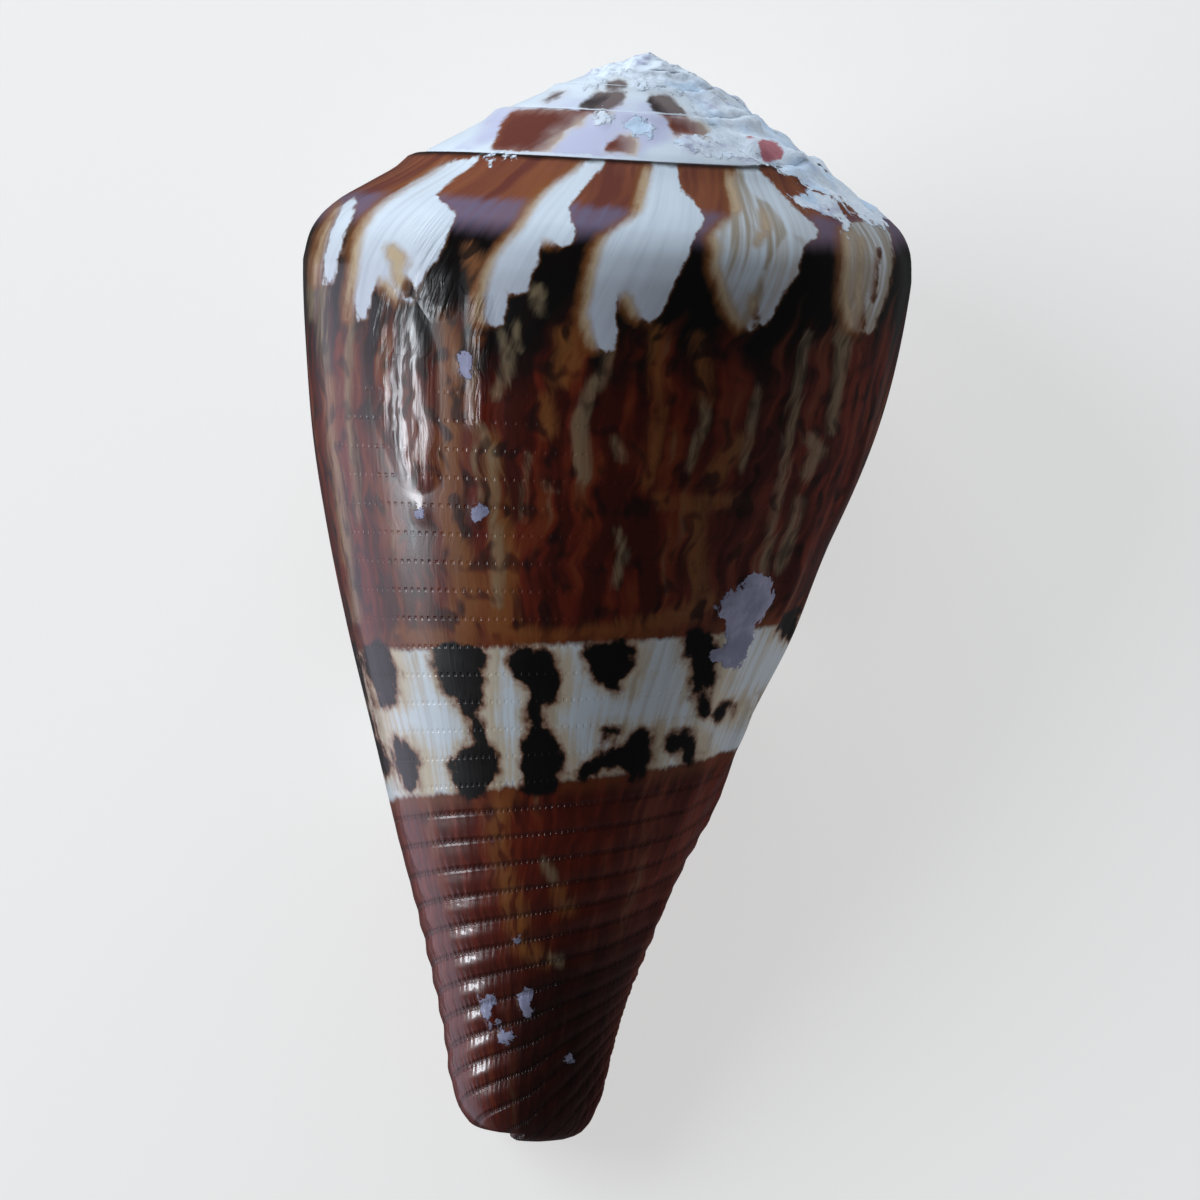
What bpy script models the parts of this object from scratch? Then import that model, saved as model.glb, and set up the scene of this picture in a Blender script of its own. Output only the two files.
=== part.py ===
"""Cone shell lying on its aperture side: one solid, in metres, +Y towards the apex, +Z up.

The shell is one surface swept round its axis. A place on it has two numbers:
turn, in half whorls back from the lip, and row, 0 at the suture, 1 at the shoulder, 2 at the base.
Heights run down the axis from the apex. Sizes below are in millimetres and angles in degrees.
"""
import math

import bmesh
import bpy
import numpy as np
from mathutils import Vector

MM = 0.001

# Whole shell
SHELL_LENGTH = 66.0
LIP_ANGLE = -138.0
COLUMNS_PER_WHORL = 54
SPIRE_WHORLS = 5.5

# How the shell lies: roll round its own axis, then pitch of the apex above the floor.
# The side it lies on is worn flat up to the rest level, which is measured from the apex.
LIE_ROLL = 9.0
LIE_PITCH = 13.2
REST_LEVEL = -18.08

# Suture: its radius shrinks by a steady rate a half whorl, and its height follows a shallow dish
SUTURE_RADIUS = 12.95
SUTURE_TURN = 0.267
SUTURE_RATE = 0.235
SUTURE_SLOPE = 0.43
SUTURE_DISH = 0.011
SUTURE_LEDGE = 0.26
SUTURE_GROOVE = 0.12

# Shoulder: the widest line of the last whorl
SHOULDER_RADIUS = 20.0
SHOULDER_DROP = 0.75
SHOULDER_DROP_RATE = 0.022
ATTACH_ROW = 0.74
SPIRE_STRAIGHT = 0.8

# Ramp from suture to shoulder, as parts of its width and of its drop
RAMP_ROW = (0.0, 0.2, 0.45, 0.65, 0.78, 0.9, 1.0)
RAMP_OUT = (0.0, 0.2, 0.5, 0.75, 0.885, 0.968, 1.0)
RAMP_DOWN = (0.0, 0.125, 0.315, 0.485, 0.625, 0.79, 1.0)

# Body below the shoulder, as seen from straight above
BODY_HEIGHT = (8.0, 13.4, 18.07, 24.1, 30.1, 36.1, 42.2, 48.2, 54.2, 60.2, 63.3, 64.8, 65.6)
BODY_RADIUS = (18.3, 18.1, 17.6, 16.5, 14.85, 12.95, 10.8, 8.77, 6.66, 5.0, 4.3, 3.65, 2.9)
FRONT_RADIUS = 18.15
GROWTH_HEIGHT = (13.0, 20.0, 28.0, 48.0, 56.0, 60.0, 65.0)
GROWTH_SHARE = (1.0, 1.05, 1.2, 1.2, 1.05, 0.9, 0.75)
COLUMELLA_TIP = 1.55
COLUMELLA_GROWTH = 0.055
TIP_ANGLE = -75.0
TIP_OFFSET = 1.5

# Aperture
WALL_LIP = 0.7
WALL_DEEP = 1.5
WALL_BASE = 0.85
APERTURE_TURNS = 0.7
LIP_NOTCH = 8.0
LIP_ROUND = 0.35

# Spiral ridges of the lower body
RIDGE_PITCH = 1.62
RIDGE_RISE = 0.05
RIDGE_START = 47.0

# Crust on the spire: angle, height down the axis, width and rise of each lump
CRUST_LUMPS = (
    (20.0, 0.9, 1.6, 0.22),
    (70.0, 1.6, 1.8, 0.3),
    (95.0, 2.6, 2.2, 0.34),
    (62.0, 3.3, 1.7, 0.26),
    (84.0, 4.4, 2.0, 0.4),
    (48.0, 5.0, 1.8, 0.28),
    (66.0, 5.6, 2.0, 0.42),
    (100.0, 5.8, 2.4, 0.36),
    (40.0, 6.6, 1.6, 0.22),
    (78.0, 6.9, 2.2, 0.26),
    (58.0, 8.0, 1.9, 0.34),
    (92.0, 8.3, 2.0, 0.12),
    (72.0, 9.3, 2.0, 0.3),
    (90.0, 9.8, 3.2, 0.42),
    (104.0, 10.0, 3.0, 0.3),
    (112.0, 7.4, 2.0, 0.3),
    (128.0, 4.6, 1.9, 0.26),
    (140.0, 6.4, 1.8, 0.22),
)


def smooth_step(value):
    """Rise from 0 to 1 with flat ends."""
    value = np.clip(value, 0.0, 1.0)
    return value * value * (3.0 - 2.0 * value)


def smooth_table(value, places, amounts):
    """Read a table through a smooth curve that passes its points."""
    places = np.asarray(places, dtype=float)
    amounts = np.asarray(amounts, dtype=float)
    slopes = np.gradient(amounts, places)
    value = np.clip(value, places[0], places[-1])
    cell = np.clip(np.searchsorted(places, value, side="right") - 1, 0, len(places) - 2)
    width = places[cell + 1] - places[cell]
    part = (value - places[cell]) / width
    start = (1.0 + 2.0 * part) * (1.0 - part) ** 2 * amounts[cell]
    leave = part * (1.0 - part) ** 2 * width * slopes[cell]
    end = part ** 2 * (3.0 - 2.0 * part) * amounts[cell + 1]
    arrive = part ** 2 * (part - 1.0) * width * slopes[cell + 1]
    return start + leave + end + arrive


def suture_radius(turn):
    """Radius of the suture that starts the whorl at this turn."""
    return SUTURE_RADIUS * np.exp(-SUTURE_RATE * (turn - SUTURE_TURN))


def suture_height(turn):
    """Height of the suture, which lies on a shallow dish round the apex."""
    radius = suture_radius(turn)
    return radius * (SUTURE_SLOPE + SUTURE_DISH * radius)


def shoulder_radius(turn):
    """Radius of the shoulder, whose growth slows down over the last whorl."""
    late = 0.10 * turn + 0.035 * turn * turn
    early = 0.135 + 0.17 * (turn - 1.0)
    return SHOULDER_RADIUS * np.exp(-np.where(turn < 1.0, late, early))


def shoulder_height(turn):
    """Height of the shoulder below the apex."""
    return shoulder_radius(turn) * (SHOULDER_DROP - SHOULDER_DROP_RATE * turn)


def body_radius(turn, height):
    """Radius of the body, which grows by nearly the same step at every height."""
    table = smooth_table(height, BODY_HEIGHT, BODY_RADIUS)
    low = (shoulder_radius(turn) - FRONT_RADIUS) * smooth_table(height, GROWTH_HEIGHT, GROWTH_SHARE)
    top = shoulder_radius(turn) - smooth_table(shoulder_height(turn), BODY_HEIGHT, BODY_RADIUS)
    depth = np.maximum(height - shoulder_height(turn), 0.0)
    radius = table + low + (top - low) * np.exp(-((depth / 5.0) ** 2))
    columella = COLUMELLA_TIP + COLUMELLA_GROWTH * (SHELL_LENGTH - height)
    return 0.5 * (radius + columella + np.sqrt((radius - columella) ** 2 + 0.3))


def base_height(turn):
    """Height at which the wall turns under at the base."""
    return 65.35 - 0.75 * smooth_step((turn - 0.4) / 1.0) - 0.5 * smooth_step((turn - 1.6) / 0.8)


def attach_point(turn):
    """Where the next whorl's suture runs on this one, as radius and height."""
    out = smooth_table(ATTACH_ROW, RAMP_ROW, RAMP_OUT)
    down = smooth_table(ATTACH_ROW, RAMP_ROW, RAMP_DOWN)
    free_radius = suture_radius(turn) + out * (shoulder_radius(turn) - suture_radius(turn))
    free_height = suture_height(turn) + down * (shoulder_height(turn) - suture_height(turn))
    held = smooth_step((turn - 1.3) / 0.7)
    radius = free_radius + held * (suture_radius(turn - 2.0) - free_radius)
    height = free_height + held * (suture_height(turn - 2.0) - free_height)
    return radius, height


def plain_profile(turn, row):
    """Radius and height of the smooth outer surface."""
    turn, row = np.broadcast_arrays(np.asarray(turn, dtype=float), np.asarray(row, dtype=float))
    out = smooth_table(np.minimum(row, 1.0), RAMP_ROW, RAMP_OUT)
    down = smooth_table(np.minimum(row, 1.0), RAMP_ROW, RAMP_DOWN)
    attach_out = smooth_table(ATTACH_ROW, RAMP_ROW, RAMP_OUT)
    attach_down = smooth_table(ATTACH_ROW, RAMP_ROW, RAMP_DOWN)
    attach_radius, attach_height = attach_point(turn)
    inner_radius = suture_radius(turn) + out / attach_out * (attach_radius - suture_radius(turn))
    drop = down / attach_down + SPIRE_STRAIGHT * smooth_step((turn - 1.5) / 0.5) * (out / attach_out - down / attach_down)
    inner_height = suture_height(turn) + drop * (attach_height - suture_height(turn))
    outer_part = (out - attach_out) / (1.0 - attach_out)
    lower_part = (down - attach_down) / (1.0 - attach_down)
    outer_radius = attach_radius + outer_part * (shoulder_radius(turn) - attach_radius)
    outer_height = attach_height + lower_part * (shoulder_height(turn) - attach_height)
    body_part = np.clip(row - 1.0, 0.0, 1.0)
    body_height = shoulder_height(turn) + body_part * (base_height(turn) - shoulder_height(turn))
    radius = np.where(row <= ATTACH_ROW, inner_radius, outer_radius)
    height = np.where(row <= ATTACH_ROW, inner_height, outer_height)
    radius = np.where(row > 1.0, body_radius(turn, body_height), radius)
    height = np.where(row > 1.0, body_height, height)
    return radius, height


def profile_normal(turn, row):
    """Outward direction of the smooth surface, as radius and height parts."""
    step = 0.01
    low_radius, low_height = plain_profile(turn, np.maximum(row - step, 0.0))
    high_radius, high_height = plain_profile(turn, np.minimum(row + step, 2.0))
    along_radius = high_radius - low_radius
    along_height = high_height - low_height
    size = np.sqrt(along_radius ** 2 + along_height ** 2) + 1e-9
    return along_height / size, -along_radius / size


def spiral_line(turn, height):
    """Number of the spiral line through a place, as its height at the middle of the front."""
    base = np.maximum(height, 1.0) ** 0.3 - 0.1322 * (0.767 - turn)
    return np.maximum(base, 0.5) ** (1.0 / 0.3)


def relief(turn, row, radius, height):
    """Rise of the surface above the smooth shape, for ledges, ridges and crust."""
    whorl_width = np.maximum(suture_radius(turn - 2.0) - suture_radius(turn), 0.4)
    size = np.clip(whorl_width / 5.0, 0.15, 1.0)
    ledge = SUTURE_LEDGE * size * np.exp(-((row - 0.1) / 0.09) ** 2) * smooth_step(row / 0.06)
    on_suture = np.exp(-(row / 0.03) ** 2)
    on_attach = np.where(turn > 1.99, np.exp(-((row - ATTACH_ROW) / 0.03) ** 2), 0.0)
    groove = -SUTURE_GROOVE * size * np.maximum(on_suture, on_attach)
    line = spiral_line(turn, height)
    strength = smooth_step((line - RIDGE_START) / 4.0) * smooth_step((64.2 - height) / 2.0)
    ridge = RIDGE_RISE * strength * np.cos(2.0 * math.pi * line / RIDGE_PITCH)
    angle = np.radians(LIP_ANGLE + 180.0 * turn)
    crust = np.zeros_like(radius)
    for lump_angle, lump_height, width, rise in CRUST_LUMPS:
        lump_radius = np.interp(lump_height, (0.0, 2.46, 4.2, 7.41, 10.0), (0.3, 5.06, 8.09, 12.9, 16.2))
        sideways = radius * np.sin(angle) - lump_radius * math.sin(math.radians(lump_angle))
        forward = radius * np.cos(angle) - lump_radius * math.cos(math.radians(lump_angle))
        crust += rise * np.exp(-(sideways ** 2 + forward ** 2) / (0.5 * width) ** 2)
    return ledge + groove + ridge * (row > 1.0) + np.minimum(crust, 0.5)


def lip_shift(column, row):
    """Half turns by which the grid leans, so that the lip has its notch at the suture."""
    notch = LIP_NOTCH / 180.0
    lean = 1.0 - 1.25 * smooth_step(row) + 0.25 * smooth_step((row - 1.2) / 0.8)
    at_lip = notch * lean * np.clip(1.0 - column / 0.5, 0.0, 1.0) ** 2
    below = np.where(row < ATTACH_ROW, row / ATTACH_ROW, 1.0 - smooth_step((row - ATTACH_ROW) / 0.6))
    under_lip = notch * below * np.clip(1.0 - abs(column - 2.0) / 0.5, 0.0, 1.0) ** 2
    return at_lip + under_lip


def outside(column, row):
    """Angle, radius and height of the finished outer surface at a grid place."""
    turn = column + lip_shift(column, row)
    radius, height = plain_profile(turn, row)
    normal_radius, normal_height = profile_normal(turn, row)
    rise = relief(turn, row, radius, height)
    if column <= 2.0:
        rise = rise * smooth_step(0.3 + column / 0.15)
    return LIP_ANGLE + 180.0 * turn, radius + rise * normal_radius, height + rise * normal_height


def inside(column, row):
    """Angle, radius and height of the aperture's outer wall."""
    turn = column + lip_shift(column, row)
    radius, height = plain_profile(turn, row)
    normal_radius, normal_height = profile_normal(turn, row)
    deep = WALL_LIP + (WALL_DEEP - WALL_LIP) * smooth_step(column / 0.3)
    wall = deep + (min(WALL_BASE, deep) - deep) * smooth_step((row - 1.6) / 0.4)
    return LIP_ANGLE + 180.0 * turn, radius - wall * normal_radius, height - wall * normal_height


def parietal(column, row):
    """Angle, radius and height of the previous whorl's wall inside the aperture."""
    turn = column + lip_shift(column, row)
    radius, height = plain_profile(turn, row)
    return LIP_ANGLE + 180.0 * turn, radius, height


class ShellMesh:
    """Builds the shell's faces and joins the strips along shared places."""

    def __init__(self):
        self.mesh = bmesh.new()

    def point(self, place):
        """Add a vertex at an angle, radius and height."""
        angle, radius, height = (float(number) for number in place)
        turned = math.radians(angle + LIE_ROLL)
        across = radius * math.sin(turned)
        upward = radius * math.cos(turned)
        along = -height
        pitch = math.radians(LIE_PITCH)
        forward = along * math.cos(pitch) - upward * math.sin(pitch)
        lift = along * math.sin(pitch) + upward * math.cos(pitch)
        lift = max(lift, REST_LEVEL)
        return self.mesh.verts.new(Vector((across, forward, lift)) * MM)

    def grid(self, columns):
        """Fill faces between neighbouring columns of vertices."""
        for left, right in zip(columns, columns[1:]):
            for low in range(len(left) - 1):
                self.quad(left[low], right[low], right[low + 1], left[low + 1])

    def quad(self, first, second, third, fourth):
        """Add one quad, or a triangle where two of its corners are the same vertex."""
        corners = []
        for corner in (first, second, third, fourth):
            if corner not in corners:
                corners.append(corner)
        if len(corners) > 2:
            self.mesh.faces.new(corners)

    def zip_strip(self, first, second):
        """Fill the strip between two chains of vertices with different counts."""
        here, there = 0, 0
        while here < len(first) - 1 or there < len(second) - 1:
            if here == len(first) - 1:
                step_first = False
            elif there == len(second) - 1:
                step_first = True
            else:
                ahead_first = (first[here + 1].co - second[there].co).length
                ahead_second = (first[here].co - second[there + 1].co).length
                step_first = ahead_first <= ahead_second
            if step_first:
                self.quad(first[here], first[here + 1], second[there], second[there])
                here += 1
            else:
                self.quad(first[here], second[there + 1], second[there], second[there])
                there += 1


def outer_rows():
    """Rows of the outer surface: wide on the body, close where the ridges are."""
    ramp = [0.0, 0.05, 0.12, 0.22, 0.4, 0.58, ATTACH_ROW, 0.84, 0.92, 1.0]
    return ramp + list(np.linspace(1.06, 1.64, 8)) + list(np.linspace(1.66, 2.0, 30))


def wall_rows():
    """Rows of the aperture's outer wall below its top corner."""
    return [0.42, 0.6, 0.78, 0.92, 1.0] + list(np.linspace(1.07, 1.93, 13)) + [2.0]


def parietal_rows():
    """Rows of the wall opposite, below the same corner."""
    return [1.0] + list(np.linspace(1.07, 1.93, 13)) + [2.0]


def build_spire(shell, suture_line, step):
    """Wind the strip between neighbouring sutures up to the apex and close it there."""
    rows = [row for row in outer_rows() if row < ATTACH_ROW]
    few_rows = [0.0, 0.12, 0.4]
    count = COLUMNS_PER_WHORL
    final = max(suture_line)
    whole, thinned = [], []
    for number in range(count, final + 1):
        fine = number <= 2 * count
        inner = rows[1:] if fine else few_rows[1:]
        middle = [shell.point(outside(number * step, row)) for row in inner]
        column = [suture_line[number]] + middle + [suture_line[number - count]]
        (whole if fine else thinned).append(column)
    shell.grid(whole)
    shell.zip_strip(whole[-1], thinned[0])
    shell.grid(thinned)
    tip = shell.point((0.0, 0.0, 0.0))
    ring = [suture_line[number] for number in range(final - count, final + 1)]
    for here, there in zip(ring, ring[1:]):
        shell.quad(here, there, tip, tip)
    for here, there in zip(thinned[-1], thinned[-1][1:]):
        shell.quad(here, there, tip, tip)
    return whole[0]


def between(first, second, share):
    """Place part of the way from one place to another."""
    return tuple(one + share * (other - one) for one, other in zip(first, second))


def towards_tip(place, share, fall):
    """Place part of the way sideways and part of the way down to the tip of the base."""
    angle, radius, height = place
    tip_across = TIP_OFFSET * math.sin(math.radians(TIP_ANGLE))
    tip_forward = TIP_OFFSET * math.cos(math.radians(TIP_ANGLE))
    across = radius * math.sin(math.radians(angle))
    forward = radius * math.cos(math.radians(angle))
    across += share * (tip_across - across)
    forward += share * (tip_forward - forward)
    lowered = height + fall * (SHELL_LENGTH - height)
    return math.degrees(math.atan2(across, forward)), math.hypot(across, forward), lowered


def build_lip(shell, body, inner_wall, corner_pair):
    """Round the lip's edge and the base edge of its wall."""
    rows = wall_rows()
    middle = []
    for row in rows:
        angle, radius, height = between(outside(0.0, row), inside(0.0, row), 0.5)
        push = math.degrees(LIP_ROUND / radius)
        drop = 0.8 * LIP_ROUND * float(smooth_step((row - 1.7) / 0.3))
        middle.append(shell.point((angle - push, radius, height + drop)))
    middle_chain = [corner_pair[0]] + middle
    shell.zip_strip(body[0], middle_chain)
    shell.zip_strip(middle_chain, [corner_pair[0]] + inner_wall[0])
    return middle[-1]


def build_base(shell, body, inner_wall, opposite, lip_end, step):
    """Close the base: the rim under the lip's wall and the rounded tip behind it."""
    deep = len(inner_wall) - 1
    rim = [lip_end]
    for number in range(1, deep + 1):
        place = between(outside(number * step, 2.0), inside(number * step, 2.0), 0.5)
        rim.append(shell.point((place[0], place[1], place[2] + LIP_ROUND)))
    edge = [column[-1] for column in body]
    inner_edge = [column[-1] for column in inner_wall]
    shell.grid([list(pair) for pair in zip(edge[:deep + 1], rim)])
    shell.grid([list(pair) for pair in zip(rim, inner_edge)])

    places = [outside(number * step, 2.0) for number in range(deep, COLUMNS_PER_WHORL + 1)]
    loop = edge[deep:]
    for number in range(COLUMNS_PER_WHORL + 1, COLUMNS_PER_WHORL + deep + 1):
        places.append(parietal(number * step, 2.0))
        loop.append(opposite[number - COLUMNS_PER_WHORL][-1])
    places.append(inside(deep * step, 2.0))
    loop.append(inner_edge[deep])
    rim_place = between(outside(deep * step, 2.0), inside(deep * step, 2.0), 0.5)
    places.append((rim_place[0], rim_place[1], rim_place[2] + LIP_ROUND))
    loop.append(rim[deep])

    previous = loop
    for share, fall in ((0.14, 0.5), (0.42, 0.86)):
        ring = [shell.point(towards_tip(place, share, fall)) for place in places]
        for here in range(len(loop)):
            there = (here + 1) % len(loop)
            shell.quad(previous[here], previous[there], ring[there], ring[here])
        previous = ring
    tip = shell.point((TIP_ANGLE, TIP_OFFSET, SHELL_LENGTH))
    for here in range(len(loop)):
        shell.quad(previous[here], previous[(here + 1) % len(loop)], tip, tip)


def build_shell():
    """Make the closed shell and return its mesh."""
    shell = ShellMesh()
    count = COLUMNS_PER_WHORL
    step = 2.0 / count
    rows = outer_rows()
    attach = rows.index(ATTACH_ROW)
    final = int(round(SPIRE_WHORLS * count)) + count
    suture_line = {number: shell.point(outside(number * step, 0.0)) for number in range(final + 1)}
    under_lip = build_spire(shell, suture_line, step)

    body = []
    for number in range(count + 1):
        if number == count:
            column = under_lip + [shell.point(outside(number * step, row)) for row in rows[attach + 1:]]
        else:
            column = [suture_line[number]] + [shell.point(outside(number * step, row)) for row in rows[1:]]
        body.append(column)
    shell.grid(body)

    deep = int(round(APERTURE_TURNS / step))
    corner = rows.index(0.92)
    seam = body[count][corner:]
    opposite = [seam]
    for number in range(count + 1, count + deep + 1):
        top = shell.point(parietal(number * step, 0.92))
        opposite.append([top] + [shell.point(parietal(number * step, row)) for row in parietal_rows()])
    shell.zip_strip(seam, opposite[1])
    shell.grid(opposite[1:])

    inner_wall = []
    for number in range(deep + 1):
        places = [shell.point(inside(number * step, row)) for row in wall_rows()]
        inner_wall.append([opposite[number][0]] + places)
    shell.grid(inner_wall)
    shell.zip_strip(inner_wall[deep], opposite[deep])

    lip_end = build_lip(shell, body, inner_wall, body[count][corner - 1:corner + 1])
    build_base(shell, body, inner_wall, opposite, lip_end, step)
    return shell.mesh


def settle(mesh):
    """Face the surface outwards and put the middle of the shell's footprint on the origin."""
    bmesh.ops.triangulate(mesh, faces=mesh.faces[:])
    bmesh.ops.recalc_face_normals(mesh, faces=mesh.faces[:])
    if mesh.calc_volume(signed=True) < 0.0:
        bmesh.ops.reverse_faces(mesh, faces=mesh.faces[:])
    places = np.array([tuple(vertex.co) for vertex in mesh.verts])
    low, high = places.min(axis=0), places.max(axis=0)
    shift = Vector((-(low[0] + high[0]) / 2.0, -(low[1] + high[1]) / 2.0, -low[2]))
    bmesh.ops.translate(mesh, verts=mesh.verts[:], vec=shift)
    return shift


def shell_material():
    """Brown glossy shell in one colour: the markings belong to the picture's model."""
    material = bpy.data.materials.new("shell_gloss")
    material.use_nodes = True
    surface = material.node_tree.nodes["Principled BSDF"]
    surface.inputs["Base Color"].default_value = (0.16, 0.06, 0.035, 1.0)
    surface.inputs["Roughness"].default_value = 0.35
    return material


def main():
    """Clear the scene and build the shell."""
    for old in list(bpy.data.objects):
        bpy.data.objects.remove(old)
    mesh = build_shell()
    shift = settle(mesh)
    open_edges = sum(1 for edge in mesh.edges if len(edge.link_faces) != 2)
    print("cone_shell triangles", len(mesh.faces), "open edges", open_edges)
    print("shift in mm", [round(part / MM, 4) for part in shift])
    data = bpy.data.meshes.new("cone_shell")
    mesh.to_mesh(data)
    mesh.free()
    data.materials.append(shell_material())
    thing = bpy.data.objects.new("cone_shell", data)
    bpy.context.scene.collection.objects.link(thing)


main()
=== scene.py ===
"""Cone shell, shown as photographed: lying on its aperture side and seen from above.

The shell is one spiral surface. A place on it has two numbers: turn, in half whorls back from
the lip, and row, 0 at the suture, 1 at the shoulder, 2 at the base. Heights run down the axis
from the apex. Shell sizes are in millimetres and angles in degrees. Marks on the front are
drawn in pixels of the photograph's 1200 wide frame and carried onto the surface.
"""
import math

import bpy
import numpy as np
from bpy.props import FloatProperty, FloatVectorProperty, IntProperty, PointerProperty
from mathutils import Matrix, Vector, noise


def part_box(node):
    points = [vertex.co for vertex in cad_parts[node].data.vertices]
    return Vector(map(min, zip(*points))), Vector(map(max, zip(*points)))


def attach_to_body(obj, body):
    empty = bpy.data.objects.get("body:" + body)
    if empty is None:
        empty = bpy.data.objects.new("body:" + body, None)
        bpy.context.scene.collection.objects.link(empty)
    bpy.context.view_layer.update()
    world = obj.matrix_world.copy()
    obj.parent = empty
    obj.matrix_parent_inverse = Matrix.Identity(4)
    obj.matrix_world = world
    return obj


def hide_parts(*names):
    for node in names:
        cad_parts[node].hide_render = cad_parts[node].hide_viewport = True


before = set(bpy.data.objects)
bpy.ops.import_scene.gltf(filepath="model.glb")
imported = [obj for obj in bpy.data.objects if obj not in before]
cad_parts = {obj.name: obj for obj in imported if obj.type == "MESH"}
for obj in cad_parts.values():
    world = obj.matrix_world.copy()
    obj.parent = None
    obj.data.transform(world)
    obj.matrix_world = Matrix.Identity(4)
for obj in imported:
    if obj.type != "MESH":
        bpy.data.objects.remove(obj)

bl_info = {
    "name": "Cone shell",
    "version": (1, 0, 0),
    "blender": (4, 5, 0),
    "location": "3D View > Sidebar > Shell",
    "description": "Builds a cone shell with its markings, crust and studio",
    "category": "Add Mesh",
}

MM = 0.001

# Whole shell: its length, the angle of its lip, and the turn at the middle of its front
SHELL_LENGTH = 66.0
LIP_ANGLE = -138.0
FRONT_TURN = 0.767
SPIRE_WHORLS = 5.5

# How the shell lies: roll round its own axis, then pitch of the apex above the floor.
# The side it lies on is worn flat up to the rest level, which is measured from the apex.
LIE_ROLL = 9.0
LIE_PITCH = 13.2
REST_LEVEL = -18.08
LIE_SHIFT = (1.3257, 32.3318, 18.08)

# Suture: its radius shrinks by a steady rate a half whorl, and its height follows a shallow dish
SUTURE_RADIUS = 12.95
SUTURE_TURN = 0.267
SUTURE_RATE = 0.235
SUTURE_SLOPE = 0.43
SUTURE_DISH = 0.011
SUTURE_LEDGE = 0.26
SUTURE_GROOVE = 0.12

# Shoulder: the widest line of the last whorl. The next whorl is held to it at the attach row.
# A pair of turns, rows, lines or heights says where a change starts, or ends, and how long it takes.
SHOULDER_RADIUS = 20.0
SHOULDER_DROP = 0.75
SHOULDER_DROP_RATE = 0.022
SHOULDER_RATE = 0.10
SHOULDER_SLOWING = 0.035
SPIRE_RATE = 0.17
ATTACH_ROW = 0.74
ATTACH_TURNS = (1.3, 0.7)
SPIRE_STRAIGHT = 0.8
STRAIGHT_TURNS = (1.5, 0.5)

# Ramp from suture to shoulder, as parts of its width and of its drop
RAMP_ROW = (0.0, 0.2, 0.45, 0.65, 0.78, 0.9, 1.0)
RAMP_OUT = (0.0, 0.2, 0.5, 0.75, 0.885, 0.968, 1.0)
RAMP_DOWN = (0.0, 0.125, 0.315, 0.485, 0.625, 0.79, 1.0)

# Body below the shoulder, as seen from straight above
BODY_HEIGHT = (8.0, 13.4, 18.07, 24.1, 30.1, 36.1, 42.2, 48.2, 54.2, 60.2, 63.3, 64.8, 65.6)
BODY_RADIUS = (18.3, 18.1, 17.6, 16.5, 14.85, 12.95, 10.8, 8.77, 6.66, 5.0, 4.3, 3.65, 2.9)
FRONT_RADIUS = 18.15
GROWTH_HEIGHT = (13.0, 20.0, 28.0, 48.0, 56.0, 60.0, 65.0)
GROWTH_SHARE = (1.0, 1.05, 1.2, 1.2, 1.05, 0.9, 0.75)
COLUMELLA_TIP = 1.55
COLUMELLA_GROWTH = 0.055
COLUMELLA_BLEND = 0.3
SHOULDER_BLEND = 5.0
BASE_HEIGHT = 65.35
BASE_RISES = ((0.75, 0.4, 1.0), (0.5, 1.6, 0.8))
TIP_ANGLE = -75.0
TIP_OFFSET = 1.5

# Aperture: thickness of its wall, how far in it goes, and the notch of its lip in degrees
WALL_LIP = 0.7
WALL_DEEP = 1.5
WALL_BASE = 0.85
WALL_TURNS = 0.3
WALL_BASE_ROWS = (1.6, 0.4)
APERTURE_TURNS = 0.7
LIP_NOTCH = 8.0
LIP_ROUND = 0.35

# The lip leans back from its notch down the rows, and the grid straightens out behind it
LIP_LEAN = (1.25, 0.25)
LIP_LEAN_ROWS = (1.2, 0.8)
LIP_REACH = 0.5
UNDER_LIP_ROWS = 0.6

# The relief thins out towards the lip
RELIEF_AT_LIP = 0.3
RELIEF_TURNS = 0.15

# Spiral lines, and the ridges that follow them over the lower body and steepen near the base
SPIRAL_POWER = 0.3
SPIRAL_RATE = 0.1322
RIDGE_PITCH = 1.62
RIDGE_RISE = 0.05
RIDGE_LINES = (47.0, 4.0)
RIDGE_END = (64.2, 2.0)
FASCIOLE_HEIGHTS = (53.0, 8.0)
FASCIOLE_TURN = 0.72
FASCIOLE_TWIST = 0.13

# Relief at the sutures, scaled by the width of the whorl.
# From the grooved turn on, the attach row has a groove too.
LEDGE_ROW = 0.1
LEDGE_WIDTH = 0.09
LEDGE_START = 0.06
GROOVE_WIDTH = 0.03
GROOVED_TURN = 1.99
FULL_WHORL = 5.0
NARROWEST_WHORL = 0.4
LEAST_RELIEF = 0.15

# Pale mid band, between two spiral lines that sag over the earlier turns
BAND_TOP = 34.5
BAND_BOTTOM = 43.0
BAND_SAG = 0.45
SAG_TURNS = (0.85, 0.35)

# Fine relief: crust, flakes, spiral cords with beads below the band, and growth wrinkles.
# An edge is the depth of the mark at which the relief starts, and over how much it rises.
CRUST_LIFT = 0.04
CRUST_LUMP = 0.26
LUMP_LOWEST = -0.4
CRUST_EDGE = (-0.25, 0.5)
WRINKLED_EDGE = (-0.8, 1.6)
STREAK_EDGE = (-0.1, 0.3)
CORD_LINES = (BAND_BOTTOM + 0.6, 1.5)
CORD_END = (64.6, 1.5)
CRUST_GRAIN = 0.13
FLAKE_RISE = 0.09
CORD_RISE = 0.02
BEAD_RISE = 0.03
BEADS_PER_TURN = 88.0
WRINKLE_RISE = 0.03
WRINKLES_PER_TURN = 34.0
FINE_WRINKLES_PER_TURN = 110.0
STREAK_STEP = 0.03
LUMP_SCALE = 0.75
GRAIN_SCALE = 1.9

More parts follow.
